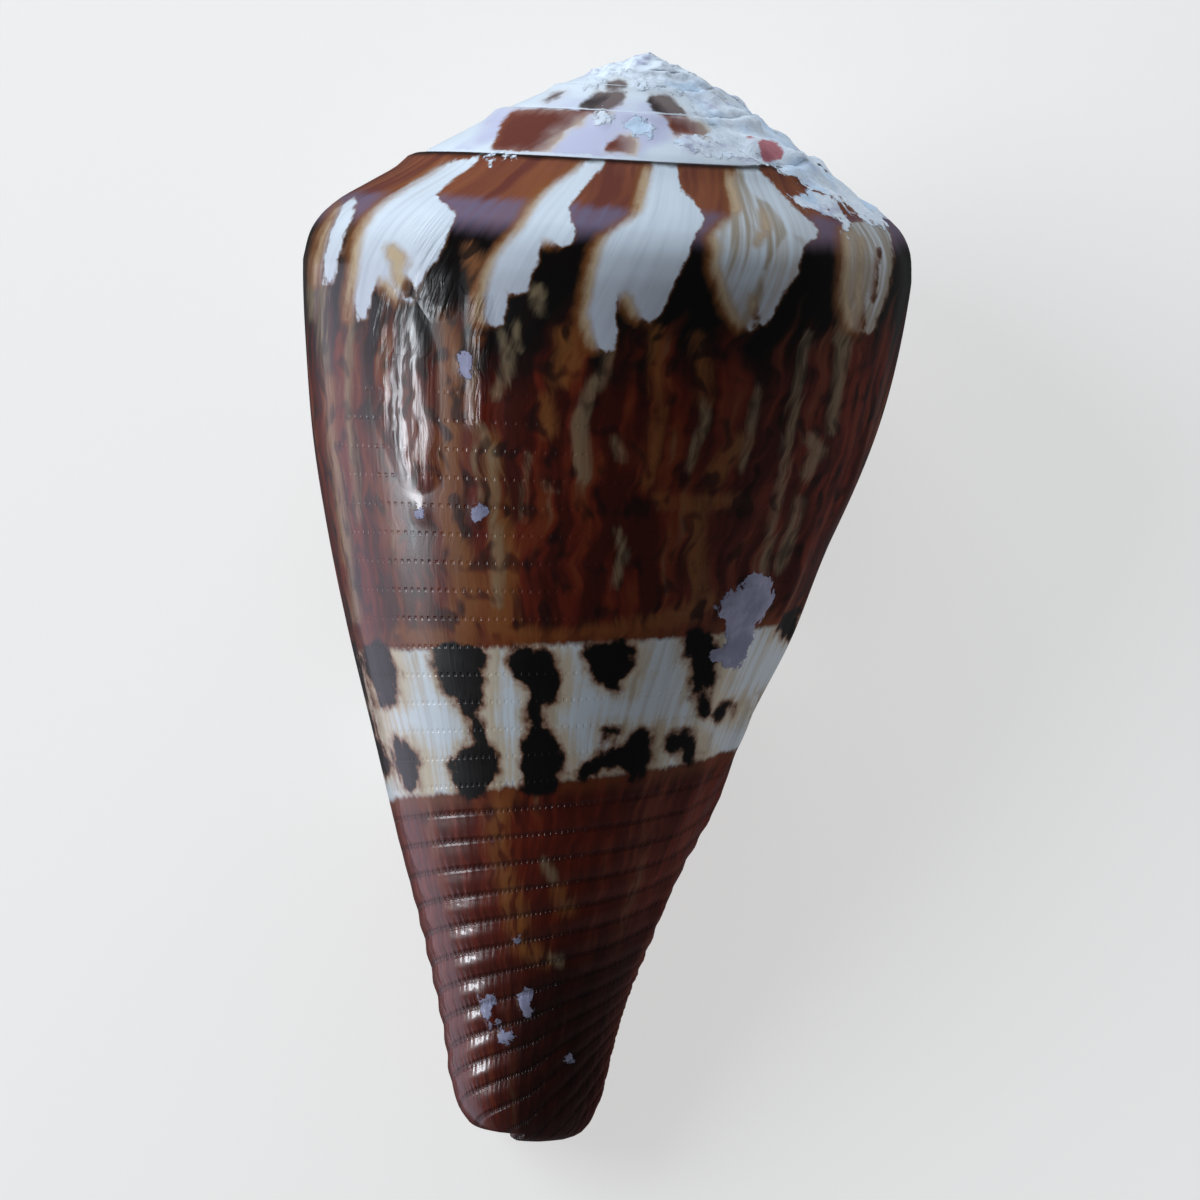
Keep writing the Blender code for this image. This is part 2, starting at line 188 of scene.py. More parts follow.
# Crust on the spire: angle, height down the axis, width and rise of each lump.
# The spire's radius at a height says how far out a lump sits.
SPIRE_HEIGHT = (0.0, 2.46, 4.2, 7.41, 10.0)
SPIRE_RADIUS = (0.3, 5.06, 8.09, 12.9, 16.2)
CRUST_LIMIT = 0.5
CRUST_LUMPS = (
    (20.0, 0.9, 1.6, 0.22),
    (70.0, 1.6, 1.8, 0.3),
    (95.0, 2.6, 2.2, 0.34),
    (62.0, 3.3, 1.7, 0.26),
    (84.0, 4.4, 2.0, 0.4),
    (48.0, 5.0, 1.8, 0.28),
    (66.0, 5.6, 2.0, 0.42),
    (100.0, 5.8, 2.4, 0.36),
    (40.0, 6.6, 1.6, 0.22),
    (78.0, 6.9, 2.2, 0.26),
    (58.0, 8.0, 1.9, 0.34),
    (92.0, 8.3, 2.0, 0.12),
    (72.0, 9.3, 2.0, 0.3),
    (90.0, 9.8, 3.2, 0.42),
    (104.0, 10.0, 3.0, 0.3),
    (112.0, 7.4, 2.0, 0.3),
    (128.0, 4.6, 1.9, 0.26),
    (140.0, 6.4, 1.8, 0.22),
)

# Camera: distance from the axis, tilt towards the apex, roll, and the photograph's pixels a millimetre.
# The pivot, at its height on the axis, shows at the pivot pixel.
VIEW_DISTANCE = 400.0
VIEW_TILT = 4.0
VIEW_ROLL = 6.0
VIEW_SCALE = 16.6
PIVOT_HEIGHT = 33.0
PIVOT_PIXEL = (592.55, 598.6)
PHOTO_WIDTH = 1200.0

# Rows of the mesh: above the attach row, over it to the shoulder, and down the body, closer at the ridges
ROWS_ABOVE = 14
ROWS_OVER = 10
ROWS_BODY = 63
ROWS_RIDGED = 73
RIDGED_ROW = 1.6
ROW_GAPS = (0.012, 0.003)
CORNER_ROW = 0.92
HOLLOW_ROW = 0.42
FADE_COLUMNS = 12

# Rings that round off the lip, close the base (share of the way in, share of the fall) and close the apex
LIP_RINGS = (0.25, 0.5, 0.75)
BASE_RINGS = (
    (0.0, 0.0), (0.05, 0.25), (0.14, 0.5), (0.27, 0.72), (0.42, 0.86), (0.6, 0.95), (0.8, 0.99), (1.0, 1.0),
)
APEX_RINGS = (0.0, 0.3, 0.6, 1.0)
APEX_POWER = 0.8

# Values of a place, and the values stored on the mesh
PLACE_NAMES = ("turn", "row", "angle", "radius", "height")
MARK_NAMES = ("turn", "line", "row", "flames", "warm", "band", "spots", "tinge", "blotch", "core", "beige",
              "ochre", "wrinkled", "crust", "flake", "red", "spire", "inner")

# Marks are depths in millimetres, and this depth stands for none
NO_MARK = -3.0

# Further away than anything on the shell
FAR = 1e9

# How far soft edges are shifted from their marks, in pixels: the warm side of the flames,
# the tinge beside the band's spots, and the full brown of the spire's blotches
WARM_SHIFT = (14.0, -3.0)
TINGE_SHIFT = 12.0
CORE_SHIFT = 14.0

# Growth lines lean by this much a millimetre, down to the foot of the flames
FLAME_LEAN = 0.0065
FLAME_FOOT = 17.0

# Where the drawn marks of the front give way to the made up ones, in degrees from the middle
FRONT_REACH = (97.0, 6.0)

# White flames below the suture of the last whorl, outlined in pixels
FLAMES = (
    ((355, 197), (358, 204), (353, 214), (345, 234), (338, 259), (333, 284), (324, 285), (323, 262),
     (329, 234), (341, 210), (348, 199)),
    ((451, 160), (480, 156), (476, 163), (454, 179), (435, 194), (443, 203), (456, 212), (451, 226),
     (445, 246), (437, 260), (429, 267), (424, 277), (419, 291), (412, 305), (402, 300), (392, 286),
     (380, 278), (373, 292), (366, 320), (356, 322), (355, 295), (358, 273), (360, 246), (364, 230),
     (374, 213), (390, 198), (411, 185), (431, 173)),
    ((586, 160), (606, 154), (602, 169), (590, 181), (580, 193), (569, 207), (571, 222), (577, 230),
     (572, 244), (561, 247), (543, 240), (541, 247), (538, 263), (531, 275), (527, 291), (515, 296),
     (508, 292), (506, 308), (503, 324), (492, 328), (483, 318), (485, 293), (490, 275), (496, 259),
     (508, 242), (522, 228), (533, 210), (541, 197), (558, 181), (574, 171)),
    ((654, 160), (677, 158), (679, 178), (681, 190), (688, 195), (697, 205), (705, 217), (702, 226),
     (692, 242), (684, 263), (674, 284), (668, 299), (661, 316), (650, 323), (639, 318), (632, 299),
     (626, 291), (619, 296), (615, 312), (618, 332), (614, 349), (602, 354), (594, 340), (590, 324),
     (587, 312), (592, 295), (594, 279), (598, 263), (602, 246), (611, 232), (627, 222), (642, 210),
     (646, 194), (649, 178)),
    ((737, 163), (758, 164), (764, 175), (772, 182), (779, 192), (790, 202), (800, 211), (808, 220),
     (819, 229), (816, 239), (806, 243), (800, 259), (798, 275), (786, 288), (776, 308), (765, 325),
     (749, 331), (737, 316), (729, 299), (725, 283), (718, 262), (721, 249), (716, 234), (725, 222),
     (741, 210), (738, 194), (734, 180)),
    ((849, 222), (872, 219), (890, 230), (893, 260), (888, 291), (872, 334), (857, 331), (848, 300),
     (851, 258)),
)

# Dark bites out of the flames, as pixel paths with a half width
FLAME_BITES = (
    ((392, 251, 7), (397, 259, 8), (407, 262, 4)),
    ((398, 276, 7), (408, 290, 8)),
    ((757, 243, 3), (767, 226, 5), (763, 212, 3)),
    ((752, 300, 4), (756, 318, 3)),
    ((861, 240, 2), (858, 292, 4), (862, 328, 4)),
    ((879, 250, 2), (873, 300, 3)),
)

# Beige and ochre streaks, as pixel paths with a half width
BEIGE_PATHS = (
    ((314, 258, 4), (312, 319, 3)),
    ((324, 283, 3), (322, 330, 3), (329, 420, 2), (346, 560, 2)),
    ((352, 318, 6), (349, 345, 4), (348, 400, 4), (353, 460, 3), (360, 520, 2)),
    ((338, 470, 2), (350, 560, 2), (356, 620, 3)),
    ((538, 292, 7), (541, 312, 6)),
    ((500, 330, 4), (508, 352, 5), (506, 376, 6), (498, 394, 6)),
    ((478, 352, 2), (472, 396, 2), (474, 470, 2), (482, 500, 3)),
    ((483, 428, 4), (493, 460, 6), (496, 490, 5), (494, 520, 5), (500, 560, 5), (498, 604, 4)),
    ((520, 350, 2), (514, 322, 2)),
    ((594, 382, 5), (578, 420, 8), (580, 455, 8), (584, 478, 5)),
    ((530, 455, 3), (526, 480, 4), (524, 520, 2)),
    ((610, 340, 5), (606, 370, 5), (598, 386, 5)),
    ((702, 400, 3), (706, 420, 4), (694, 445, 3), (688, 470, 2)),
    ((758, 386, 3), (752, 420, 4), (744, 450, 4), (742, 470, 3)),
    ((808, 334, 4), (800, 380, 4), (790, 430, 5), (784, 470, 4), (772, 530, 3), (758, 580, 3)),
    ((812, 440, 8), (818, 450, 7), (806, 475, 5)),
    ((845, 330, 5), (838, 380, 5), (832, 430, 4)),
    ((800, 500, 3), (788, 540, 4), (778, 570, 3)),
    ((848, 300, 4), (838, 340, 4)),
    ((545, 862, 4), (552, 876, 5)),
    ((553, 958, 4), (558, 962, 5)),
    ((616, 440, 2), (622, 458, 3)),
    ((618, 530, 3), (624, 556, 4), (614, 585, 3)),
    ((548, 486, 3), (556, 492, 3)),
)
OCHRE_PATHS = (
    ((446, 320, 8), (450, 360, 12), (452, 410, 13), (448, 470, 12), (450, 520, 10), (462, 560, 12),
     (468, 600, 16), (462, 640, 14)),
    ((490, 440, 8), (496, 500, 9), (504, 560, 10), (500, 630, 14)),
    ((470, 250, 6), (484, 300, 6), (476, 340, 5)),
    ((566, 336, 9), (570, 360, 11), (560, 376, 9)),
    ((545, 400, 5), (548, 430, 6)),
    ((655, 330, 4), (660, 400, 5), (656, 440, 5), (648, 480, 4)),
    ((700, 340, 5), (704, 400, 5)),
    ((745, 440, 7), (728, 458, 9), (712, 478, 6)),
    ((660, 500, 4), (690, 505, 6), (740, 500, 5)),
    ((700, 520, 5), (696, 560, 6), (700, 590, 6)),
    ((640, 630, 8), (690, 612, 10), (712, 600, 8)),
    ((500, 634, 9), (560, 640, 9), (640, 626, 6)),
    ((505, 790, 9), (497, 830, 9), (503, 870, 9), (512, 905, 10), (518, 930, 8)),
    ((440, 640, 8), (400, 636, 6)),
    ((520, 945, 6), (545, 960, 6)),
    ((560, 890, 5), (566, 908, 6)),
    ((722, 684, 12), (700, 700, 8)),
    ((330, 380, 3), (334, 460, 3), (346, 560, 3)),
)

# Brown blotches on the spire, outlined in pixels
SPIRE_BLOTCHES = (
    ((488, 152), (494, 140), (500, 122), (513, 109), (541, 107), (566, 108), (590, 111), (582, 124),
     (567, 131), (558, 143), (547, 152), (520, 155)),
    ((602, 153), (606, 142), (620, 134), (633, 135), (638, 143), (635, 154)),
    ((664, 116), (688, 118), (704, 124), (716, 139), (700, 137), (684, 135), (676, 140), (670, 130)),
    ((577, 113), (579, 104), (598, 90), (629, 90), (623, 103), (607, 114), (586, 115)),
    ((646, 101), (649, 94), (666, 93), (678, 101), (689, 115), (690, 120), (665, 119), (653, 111)),
    ((540, 102), (551, 93), (567, 90), (561, 97), (549, 103)),
    ((604, 89), (607, 81), (619, 77), (629, 82), (628, 89), (613, 92)),
    ((678, 86), (690, 85), (689, 90)),
    ((714, 100), (722, 97), (727, 104), (722, 111), (715, 108)),
)

# Black spots of the mid band, as pixel paths with a half width
BAND_SPOTS = (
    ((374, 655, 13), (384, 672, 14), (388, 698, 9)),
    ((352, 645, 5), (358, 678, 6), (366, 704, 4), (374, 736, 4), (383, 770, 6)),
    ((446, 654, 13), (474, 656, 12)),
    ((446, 668, 13), (460, 676, 23), (470, 700, 12)),
    ((462, 700, 6), (474, 722, 5), (480, 738, 7)),
    ((484, 752, 11), (474, 768, 24), (472, 784, 16)),
    ((522, 660, 15), (538, 670, 20), (545, 688, 15), (540, 700, 9)),
    ((536, 698, 7), (533, 736, 7)),
    ((540, 748, 18), (542, 766, 21), (540, 784, 18)),
    ((594, 656, 11), (608, 662, 23), (622, 650, 11)),
    ((612, 680, 8), (617, 690, 3)),
    ((696, 640, 12), (702, 656, 17), (704, 674, 11)),
    ((700, 678, 8), (700, 694, 7), (705, 712, 4)),
    ((718, 716, 5), (730, 706, 3)),
    ((790, 608, 10), (788, 630, 9)),
    ((398, 742, 5), (406, 762, 12), (412, 782, 9)),
    ((582, 772, 6), (606, 762, 8), (636, 754, 15), (644, 740, 11)),
    ((638, 768, 10), (632, 776, 7)),
    ((608, 731, 5), (616, 732, 4)),
    ((672, 744, 8), (684, 738, 9), (688, 756, 8)),
    ((760, 720, 5), (766, 700, 4)),
)

# Crust, flakes and the red spot, outlined in pixels
CRUST_OUTLINES = (
    ((584, 90), (592, 70), (640, 54), (658, 54), (690, 72), (722, 96), (760, 118), (812, 156),
     (884, 206), (890, 226), (870, 224), (846, 206), (806, 186), (782, 172), (757, 160), (735, 152),
     (700, 139), (714, 128), (700, 120), (694, 106), (684, 96), (666, 88), (634, 87), (630, 78),
     (618, 75), (606, 77), (600, 85)),
    ((593, 116), (603, 111), (615, 118), (606, 128), (596, 125)),
    ((624, 124), (640, 117), (658, 128), (650, 138), (632, 136)),
    ((676, 140), (700, 134), (730, 144), (760, 158), (735, 159), (700, 156), (682, 150)),
    ((785, 192), (798, 196), (814, 188), (843, 207), (852, 220), (847, 236), (839, 219), (817, 211),
     (798, 205)),
    ((484, 156), (497, 154), (500, 161), (490, 164)),
    ((502, 154), (516, 153), (514, 160), (505, 160)),
)
FLAKE_OUTLINES = (
    ((746, 570), (769, 573), (774, 590), (771, 605), (754, 627), (750, 645), (748, 659), (736, 668),
     (724, 669), (708, 655), (722, 645), (726, 625), (716, 607), (724, 592), (738, 588)),
    ((458, 356), (466, 352), (478, 360), (476, 374), (466, 379), (457, 368)),
    ((471, 506), (482, 502), (489, 512), (484, 523), (474, 520)),
    ((478, 996), (490, 994), (496, 1004), (493, 1014), (499, 1024), (490, 1029), (484, 1018)),
    ((516, 992), (526, 985), (532, 994), (536, 1008), (528, 1016), (520, 1010)),
    ((562, 1054), (570, 1052), (574, 1060), (566, 1063)),
    ((512, 937), (520, 935), (524, 942), (516, 945)),
    ((500, 1031), (510, 1028), (516, 1038), (508, 1046), (501, 1041)),
    ((415, 506), (424, 504), (429, 515), (424, 523), (416, 518)),
)
RED_OUTLINES = (
    ((756, 142), (768, 138), (784, 149), (781, 160), (766, 163), (757, 154)),
    ((745, 139), (750, 136), (754, 140), (750, 144)),
)

# The side the photograph doesn't show: flames and spots by angle, with sizes in millimetres.
# The flames start this far above the shoulder.
RAMP_WIDTH = 8.5
HIDDEN_FLAMES = (
    (102, 1.5), (124, 2.3), (149, 1.8), (171, 2.4), (193, 1.7), (214, 2.1), (-127, 1.8), (-104, 2.2),
)
HIDDEN_SPOTS = (
    (104, 1.4), (125, 1.1), (147, 1.6), (168, 1.2), (187, 1.5), (206, 1.2), (-129, 1.3), (-107, 1.1),
)

# Spire blotches there are waves round the axis: rate a degree, step a whorl, depth and shift
BLOTCH_WAVE = (0.21, 2.2, 1.6, 0.5)

# Crust there: greatest depth, angle of its middle, and its loss a degree and a millimetre down
CRUST_DEPTH = 5.5
CRUST_MIDDLE = 112.0
CRUST_LOSS = (0.09, 0.62)
CRUST_MOST = 2.0

# The last whorl fades into the spire behind the lip
SPIRE_TURNS = (1.8, 0.2)
SPIRE_ROWS = 0.12

# Zones where the growth lines stand out, as pixel paths with a half width
WRINKLED_PATHS = (
    ((392, 300, 20), (402, 360, 28), (408, 420, 24), (420, 470, 16)),
    ((478, 300, 7), (482, 360, 8), (478, 420, 6)),
    ((430, 230, 22), (438, 300, 14)),
)


def smooth_step(value):
    """Rise from 0 to 1 with flat ends."""
    value = np.clip(value, 0.0, 1.0)
    return value * value * (3.0 - 2.0 * value)


def rise_over(value, start, length):
    """Rise from 0 at the start to 1 a length further on."""
    return smooth_step((value - start) / length)


def fall_over(value, end, length):
    """Fall from 1 a length before the end to 0 at the end."""
    return smooth_step((end - value) / length)


def angle_of(turn):
    """Angle round the axis of a turn."""
    return LIP_ANGLE + 180.0 * turn


def turn_of(angle):
    """Turn of an angle round the axis."""
    return (angle - LIP_ANGLE) / 180.0


def smooth_table(value, places, amounts):
    """Read a table through a smooth curve that passes its points."""
    places = np.asarray(places, dtype=float)
    amounts = np.asarray(amounts, dtype=float)
    slopes = np.gradient(amounts, places)
    value = np.clip(value, places[0], places[-1])
    cell = np.clip(np.searchsorted(places, value, side="right") - 1, 0, len(places) - 2)
    width = places[cell + 1] - places[cell]
    part = (value - places[cell]) / width
    start = (1.0 + 2.0 * part) * (1.0 - part) ** 2 * amounts[cell]
    leave = part * (1.0 - part) ** 2 * width * slopes[cell]
    end = part ** 2 * (3.0 - 2.0 * part) * amounts[cell + 1]
    arrive = part ** 2 * (part - 1.0) * width * slopes[cell + 1]
    return start + leave + end + arrive


# Parts of the ramp's width and of its drop at the attach row
ATTACH_OUT = smooth_table(ATTACH_ROW, RAMP_ROW, RAMP_OUT)
ATTACH_DOWN = smooth_table(ATTACH_ROW, RAMP_ROW, RAMP_DOWN)


def suture_radius(turn):
    """Radius of the suture that starts the whorl at this turn."""
    return SUTURE_RADIUS * np.exp(-SUTURE_RATE * (turn - SUTURE_TURN))


def suture_height(turn):
    """Height of the suture, which lies on a shallow dish round the apex."""
    radius = suture_radius(turn)
    return radius * (SUTURE_SLOPE + SUTURE_DISH * radius)


def shoulder_radius(turn):
    """Radius of the shoulder, whose growth slows down over the last whorl."""
    late = SHOULDER_RATE * turn + SHOULDER_SLOWING * turn * turn
    early = SHOULDER_RATE + SHOULDER_SLOWING + SPIRE_RATE * (turn - 1.0)
    return SHOULDER_RADIUS * np.exp(-np.where(turn < 1.0, late, early))


def shoulder_height(turn):
    """Height of the shoulder below the apex."""
    return shoulder_radius(turn) * (SHOULDER_DROP - SHOULDER_DROP_RATE * turn)


def body_radius(turn, height):
    """Radius of the body, which grows by nearly the same step at every height."""
    table = smooth_table(height, BODY_HEIGHT, BODY_RADIUS)
    low = (shoulder_radius(turn) - FRONT_RADIUS) * smooth_table(height, GROWTH_HEIGHT, GROWTH_SHARE)
    top = shoulder_radius(turn) - smooth_table(shoulder_height(turn), BODY_HEIGHT, BODY_RADIUS)
    depth = np.maximum(height - shoulder_height(turn), 0.0)
    radius = table + low + (top - low) * np.exp(-((depth / SHOULDER_BLEND) ** 2))
    columella = COLUMELLA_TIP + COLUMELLA_GROWTH * (SHELL_LENGTH - height)
    return 0.5 * (radius + columella + np.sqrt((radius - columella) ** 2 + COLUMELLA_BLEND))


def base_height(turn):
    """Height at which the wall turns under at the base."""
    height = BASE_HEIGHT
    for rise, start, length in BASE_RISES:
        height = height - rise * rise_over(turn, start, length)
    return height


def attach_point(turn):
    """Where the next whorl's suture runs on this one, as radius and height."""
    free_radius = suture_radius(turn) + ATTACH_OUT * (shoulder_radius(turn) - suture_radius(turn))
    free_height = suture_height(turn) + ATTACH_DOWN * (shoulder_height(turn) - suture_height(turn))
    held = rise_over(turn, *ATTACH_TURNS)
    radius = free_radius + held * (suture_radius(turn - 2.0) - free_radius)
    height = free_height + held * (suture_height(turn - 2.0) - free_height)
    return radius, height


def plain_profile(turn, row):
    """Radius and height of the smooth outer surface."""
    turn, row = np.broadcast_arrays(np.asarray(turn, dtype=float), np.asarray(row, dtype=float))
    out = smooth_table(np.minimum(row, 1.0), RAMP_ROW, RAMP_OUT)
    down = smooth_table(np.minimum(row, 1.0), RAMP_ROW, RAMP_DOWN)
    attach_radius, attach_height = attach_point(turn)
    inner_radius = suture_radius(turn) + out / ATTACH_OUT * (attach_radius - suture_radius(turn))
    straight = SPIRE_STRAIGHT * rise_over(turn, *STRAIGHT_TURNS)
    drop = down / ATTACH_DOWN + straight * (out / ATTACH_OUT - down / ATTACH_DOWN)
    inner_height = suture_height(turn) + drop * (attach_height - suture_height(turn))
    outer_part = (out - ATTACH_OUT) / (1.0 - ATTACH_OUT)
    lower_part = (down - ATTACH_DOWN) / (1.0 - ATTACH_DOWN)
    outer_radius = attach_radius + outer_part * (shoulder_radius(turn) - attach_radius)
    outer_height = attach_height + lower_part * (shoulder_height(turn) - attach_height)
    body_part = np.clip(row - 1.0, 0.0, 1.0)
    body_height = shoulder_height(turn) + body_part * (base_height(turn) - shoulder_height(turn))
    radius = np.where(row <= ATTACH_ROW, inner_radius, outer_radius)
    height = np.where(row <= ATTACH_ROW, inner_height, outer_height)
    radius = np.where(row > 1.0, body_radius(turn, body_height), radius)
    height = np.where(row > 1.0, body_height, height)
    return radius, height


def profile_normal(turn, row):
    """Outward direction of the smooth surface, as radius and height parts."""
    step = 0.01
    low_radius, low_height = plain_profile(turn, np.maximum(row - step, 0.0))
    high_radius, high_height = plain_profile(turn, np.minimum(row + step, 2.0))
    along_radius = high_radius - low_radius
    along_height = high_height - low_height
    size = np.sqrt(along_radius ** 2 + along_height ** 2) + 1e-9
    return along_height / size, -along_radius / size


def spiral_line(turn, height):
    """Number of the spiral line through a place, as its height at the middle of the front."""
    steeper = FASCIOLE_TWIST * rise_over(height, *FASCIOLE_HEIGHTS) * np.maximum(turn - FASCIOLE_TURN, 0.0)
    base = np.maximum(height, 1.0) ** SPIRAL_POWER - SPIRAL_RATE * (FRONT_TURN - turn) + steeper
    return np.maximum(base, 0.5) ** (1.0 / SPIRAL_POWER)


def relief(turn, row, radius, height):
    """Rise of the surface above the smooth shape, for ledges, ridges and crust."""
    whorl_width = np.maximum(suture_radius(turn - 2.0) - suture_radius(turn), NARROWEST_WHORL)
    size = np.clip(whorl_width / FULL_WHORL, LEAST_RELIEF, 1.0)
    ledge = SUTURE_LEDGE * size * np.exp(-((row - LEDGE_ROW) / LEDGE_WIDTH) ** 2)
    ledge = ledge * smooth_step(row / LEDGE_START)
    on_suture = np.exp(-(row / GROOVE_WIDTH) ** 2)
    on_attach = np.where(turn > GROOVED_TURN, np.exp(-((row - ATTACH_ROW) / GROOVE_WIDTH) ** 2), 0.0)
    groove = -SUTURE_GROOVE * size * np.maximum(on_suture, on_attach)
    line = spiral_line(turn, height)
    strength = rise_over(line, *RIDGE_LINES) * fall_over(height, *RIDGE_END)
    ridge = RIDGE_RISE * strength * np.cos(2.0 * math.pi * line / RIDGE_PITCH)
    angle = np.radians(angle_of(turn))
    crust = np.zeros_like(radius)
    for lump_angle, lump_height, width, rise in CRUST_LUMPS:
        lump_radius = np.interp(lump_height, SPIRE_HEIGHT, SPIRE_RADIUS)
        sideways = radius * np.sin(angle) - lump_radius * math.sin(math.radians(lump_angle))
        forward = radius * np.cos(angle) - lump_radius * math.cos(math.radians(lump_angle))
        crust += rise * np.exp(-(sideways ** 2 + forward ** 2) / (0.5 * width) ** 2)
    return ledge + groove + ridge * (row > 1.0) + np.minimum(crust, CRUST_LIMIT)


def lip_shift(column, row):
    """Half turns by which the grid leans, so that the lip has its notch at the suture."""
    notch = LIP_NOTCH / 180.0
    lean = 1.0 - LIP_LEAN[0] * smooth_step(row) + LIP_LEAN[1] * rise_over(row, *LIP_LEAN_ROWS)
    at_lip = notch * lean * np.clip(1.0 - column / LIP_REACH, 0.0, 1.0) ** 2
    over = 1.0 - rise_over(row, ATTACH_ROW, UNDER_LIP_ROWS)
    below = np.where(row < ATTACH_ROW, row / ATTACH_ROW, over)
    under_lip = notch * below * np.clip(1.0 - abs(column - 2.0) / LIP_REACH, 0.0, 1.0) ** 2
    return at_lip + under_lip


def outside(column, row):
    """Angle, radius and height of the finished outer surface at a grid place."""
    turn = column + lip_shift(column, row)
    radius, height = plain_profile(turn, row)
    normal_radius, normal_height = profile_normal(turn, row)
    rise = relief(turn, row, radius, height)
    lip_thinning = smooth_step(RELIEF_AT_LIP + np.asarray(column) / RELIEF_TURNS)
    rise = rise * np.where(np.asarray(column) <= 2.0, lip_thinning, 1.0)
    return angle_of(turn), radius + rise * normal_radius, height + rise * normal_height


def inside(column, row):
    """Angle, radius and height of the aperture's outer wall."""
    turn = column + lip_shift(column, row)
    radius, height = plain_profile(turn, row)
    normal_radius, normal_height = profile_normal(turn, row)
    deep = WALL_LIP + (WALL_DEEP - WALL_LIP) * smooth_step(column / WALL_TURNS)
    wall = deep + (np.minimum(WALL_BASE, deep) - deep) * rise_over(row, *WALL_BASE_ROWS)
    return angle_of(turn), radius - wall * normal_radius, height - wall * normal_height


def parietal(column, row):
    """Angle, radius and height of the previous whorl's wall inside the aperture."""
    turn = column + lip_shift(column, row)
    radius, height = plain_profile(turn, row)
    return angle_of(turn), radius, height


def front_view(angle, radius, height):
    """Pixel of a place, as the photograph's camera sees it."""
    across = radius * np.sin(np.radians(angle))
    forward = radius * np.cos(np.radians(angle))
    tilt = math.radians(VIEW_TILT)
    along = PIVOT_HEIGHT - height
    depth = forward * math.cos(tilt) + along * math.sin(tilt)
    upward = along * math.cos(tilt) - forward * math.sin(tilt)
    scale = VIEW_SCALE * VIEW_DISTANCE / (VIEW_DISTANCE - depth)
    roll = math.radians(VIEW_ROLL)
    right = (across * math.cos(roll) + upward * math.sin(roll)) * scale
    down = (across * math.sin(roll) - upward * math.cos(roll)) * scale
    return PIVOT_PIXEL[0] + right, PIVOT_PIXEL[1] + down


def segment_gap(x, y, start, end):
    """Distance to a straight piece of a path, and how far along it the nearest point is."""
    along_x, along_y = end[0] - start[0], end[1] - start[1]
    length = max(along_x * along_x + along_y * along_y, 1e-9)
    share = np.clip(((x - start[0]) * along_x + (y - start[1]) * along_y) / length, 0.0, 1.0)
    return np.hypot(x - start[0] - share * along_x, y - start[1] - share * along_y), share


def outline_depth(x, y, corners):
    """Depth inside a closed outline, negative outside it."""
    nearest = np.full_like(x, FAR)
    inside_it = np.zeros(x.shape, dtype=bool)
    for start, end in zip(corners, corners[1:] + corners[:1]):
        gap, _ = segment_gap(x, y, start, end)
        nearest = np.minimum(nearest, gap)
        if start[1] != end[1]:
            level = (y >= min(start[1], end[1])) & (y < max(start[1], end[1]))
            crossing = start[0] + (y - start[1]) * (end[0] - start[0]) / (end[1] - start[1])
            inside_it ^= level & (x < crossing)
    return np.where(inside_it, nearest, -nearest)


def path_depth(x, y, points):
    """Depth inside a path whose points each have a half width."""
    depth = np.full_like(x, -FAR)
    for start, end in zip(points, points[1:]):
        gap, share = segment_gap(x, y, start, end)
        depth = np.maximum(depth, start[2] + share * (end[2] - start[2]) - gap)
    return depth


def deepest(x, y, shapes, measure):
    """Greatest depth inside any of the shapes, in millimetres."""
    depth = np.full_like(x, -FAR)
    for shape in shapes:
        depth = np.maximum(depth, measure(x, y, shape))
    return depth / VIEW_SCALE


def wave_noise(places, scale, seed):
    """Smooth noise from -1 to 1 at places in millimetres."""
    shift = Vector((seed * 17.3, seed * 5.1, seed * 9.7))
    flat = places.reshape(-1, 3) * scale
    values = [noise.noise(Vector(place) + shift) for place in flat.tolist()]
    return np.array(values).reshape(places.shape[:-1])


def arc_between(start, end, radius):
    """Way round the shell from one angle to another, in millimetres."""
    return np.radians((end - start + 180.0) % 360.0 - 180.0) * radius


def hidden_marks(angle, row, radius, height, line):
    """Depths of the flames, their warm edges and the band spots on the side away from the camera."""
    below = np.where(row < 1.0, (row - 1.0) * RAMP_WIDTH, height - shoulder_height(turn_of(angle)))
    flames = np.full_like(radius, -FAR)
    warm = np.full_like(radius, -FAR)
    for centre, size in HIDDEN_FLAMES:
        gap = arc_between(centre, angle, radius)
        top = (2.0, -RAMP_WIDTH, 0.6 * size)
        middle = (0.4, -1.0, size)
        foot = (-0.9, 4.6 + size, 0.35)
        side = (0.5 - 0.7 * size, 1.0, 0.5)
        side_foot = (-0.4 - size, 3.2 + 1.2 * size, 0.25)
        for shape in ((top, middle, foot), (side, side_foot)):
            flames = np.maximum(flames, path_depth(gap, below, shape))
            warm = np.maximum(warm, path_depth(gap + 1.1, below, shape))
    spots = np.full_like(radius, -FAR)
    for number, (centre, size) in enumerate(HIDDEN_SPOTS):
        gap = arc_between(centre, angle, radius)
        upper = ((-0.3, BAND_TOP + 0.5, size * 0.8), (0.3, BAND_TOP + 1.8, size))
        lower = ((0.5, BAND_BOTTOM - 1.8, size), (0.1, BAND_BOTTOM - 0.4, size * 0.8))
        link = ((0.3, BAND_TOP + 2.0, 0.35), (0.5, BAND_BOTTOM - 2.2, 0.35))
        for shape in (upper, lower, link)[:2 + min(number % 3, 1)]:
            spots = np.maximum(spots, path_depth(gap, line, shape))
    return flames, warm, spots


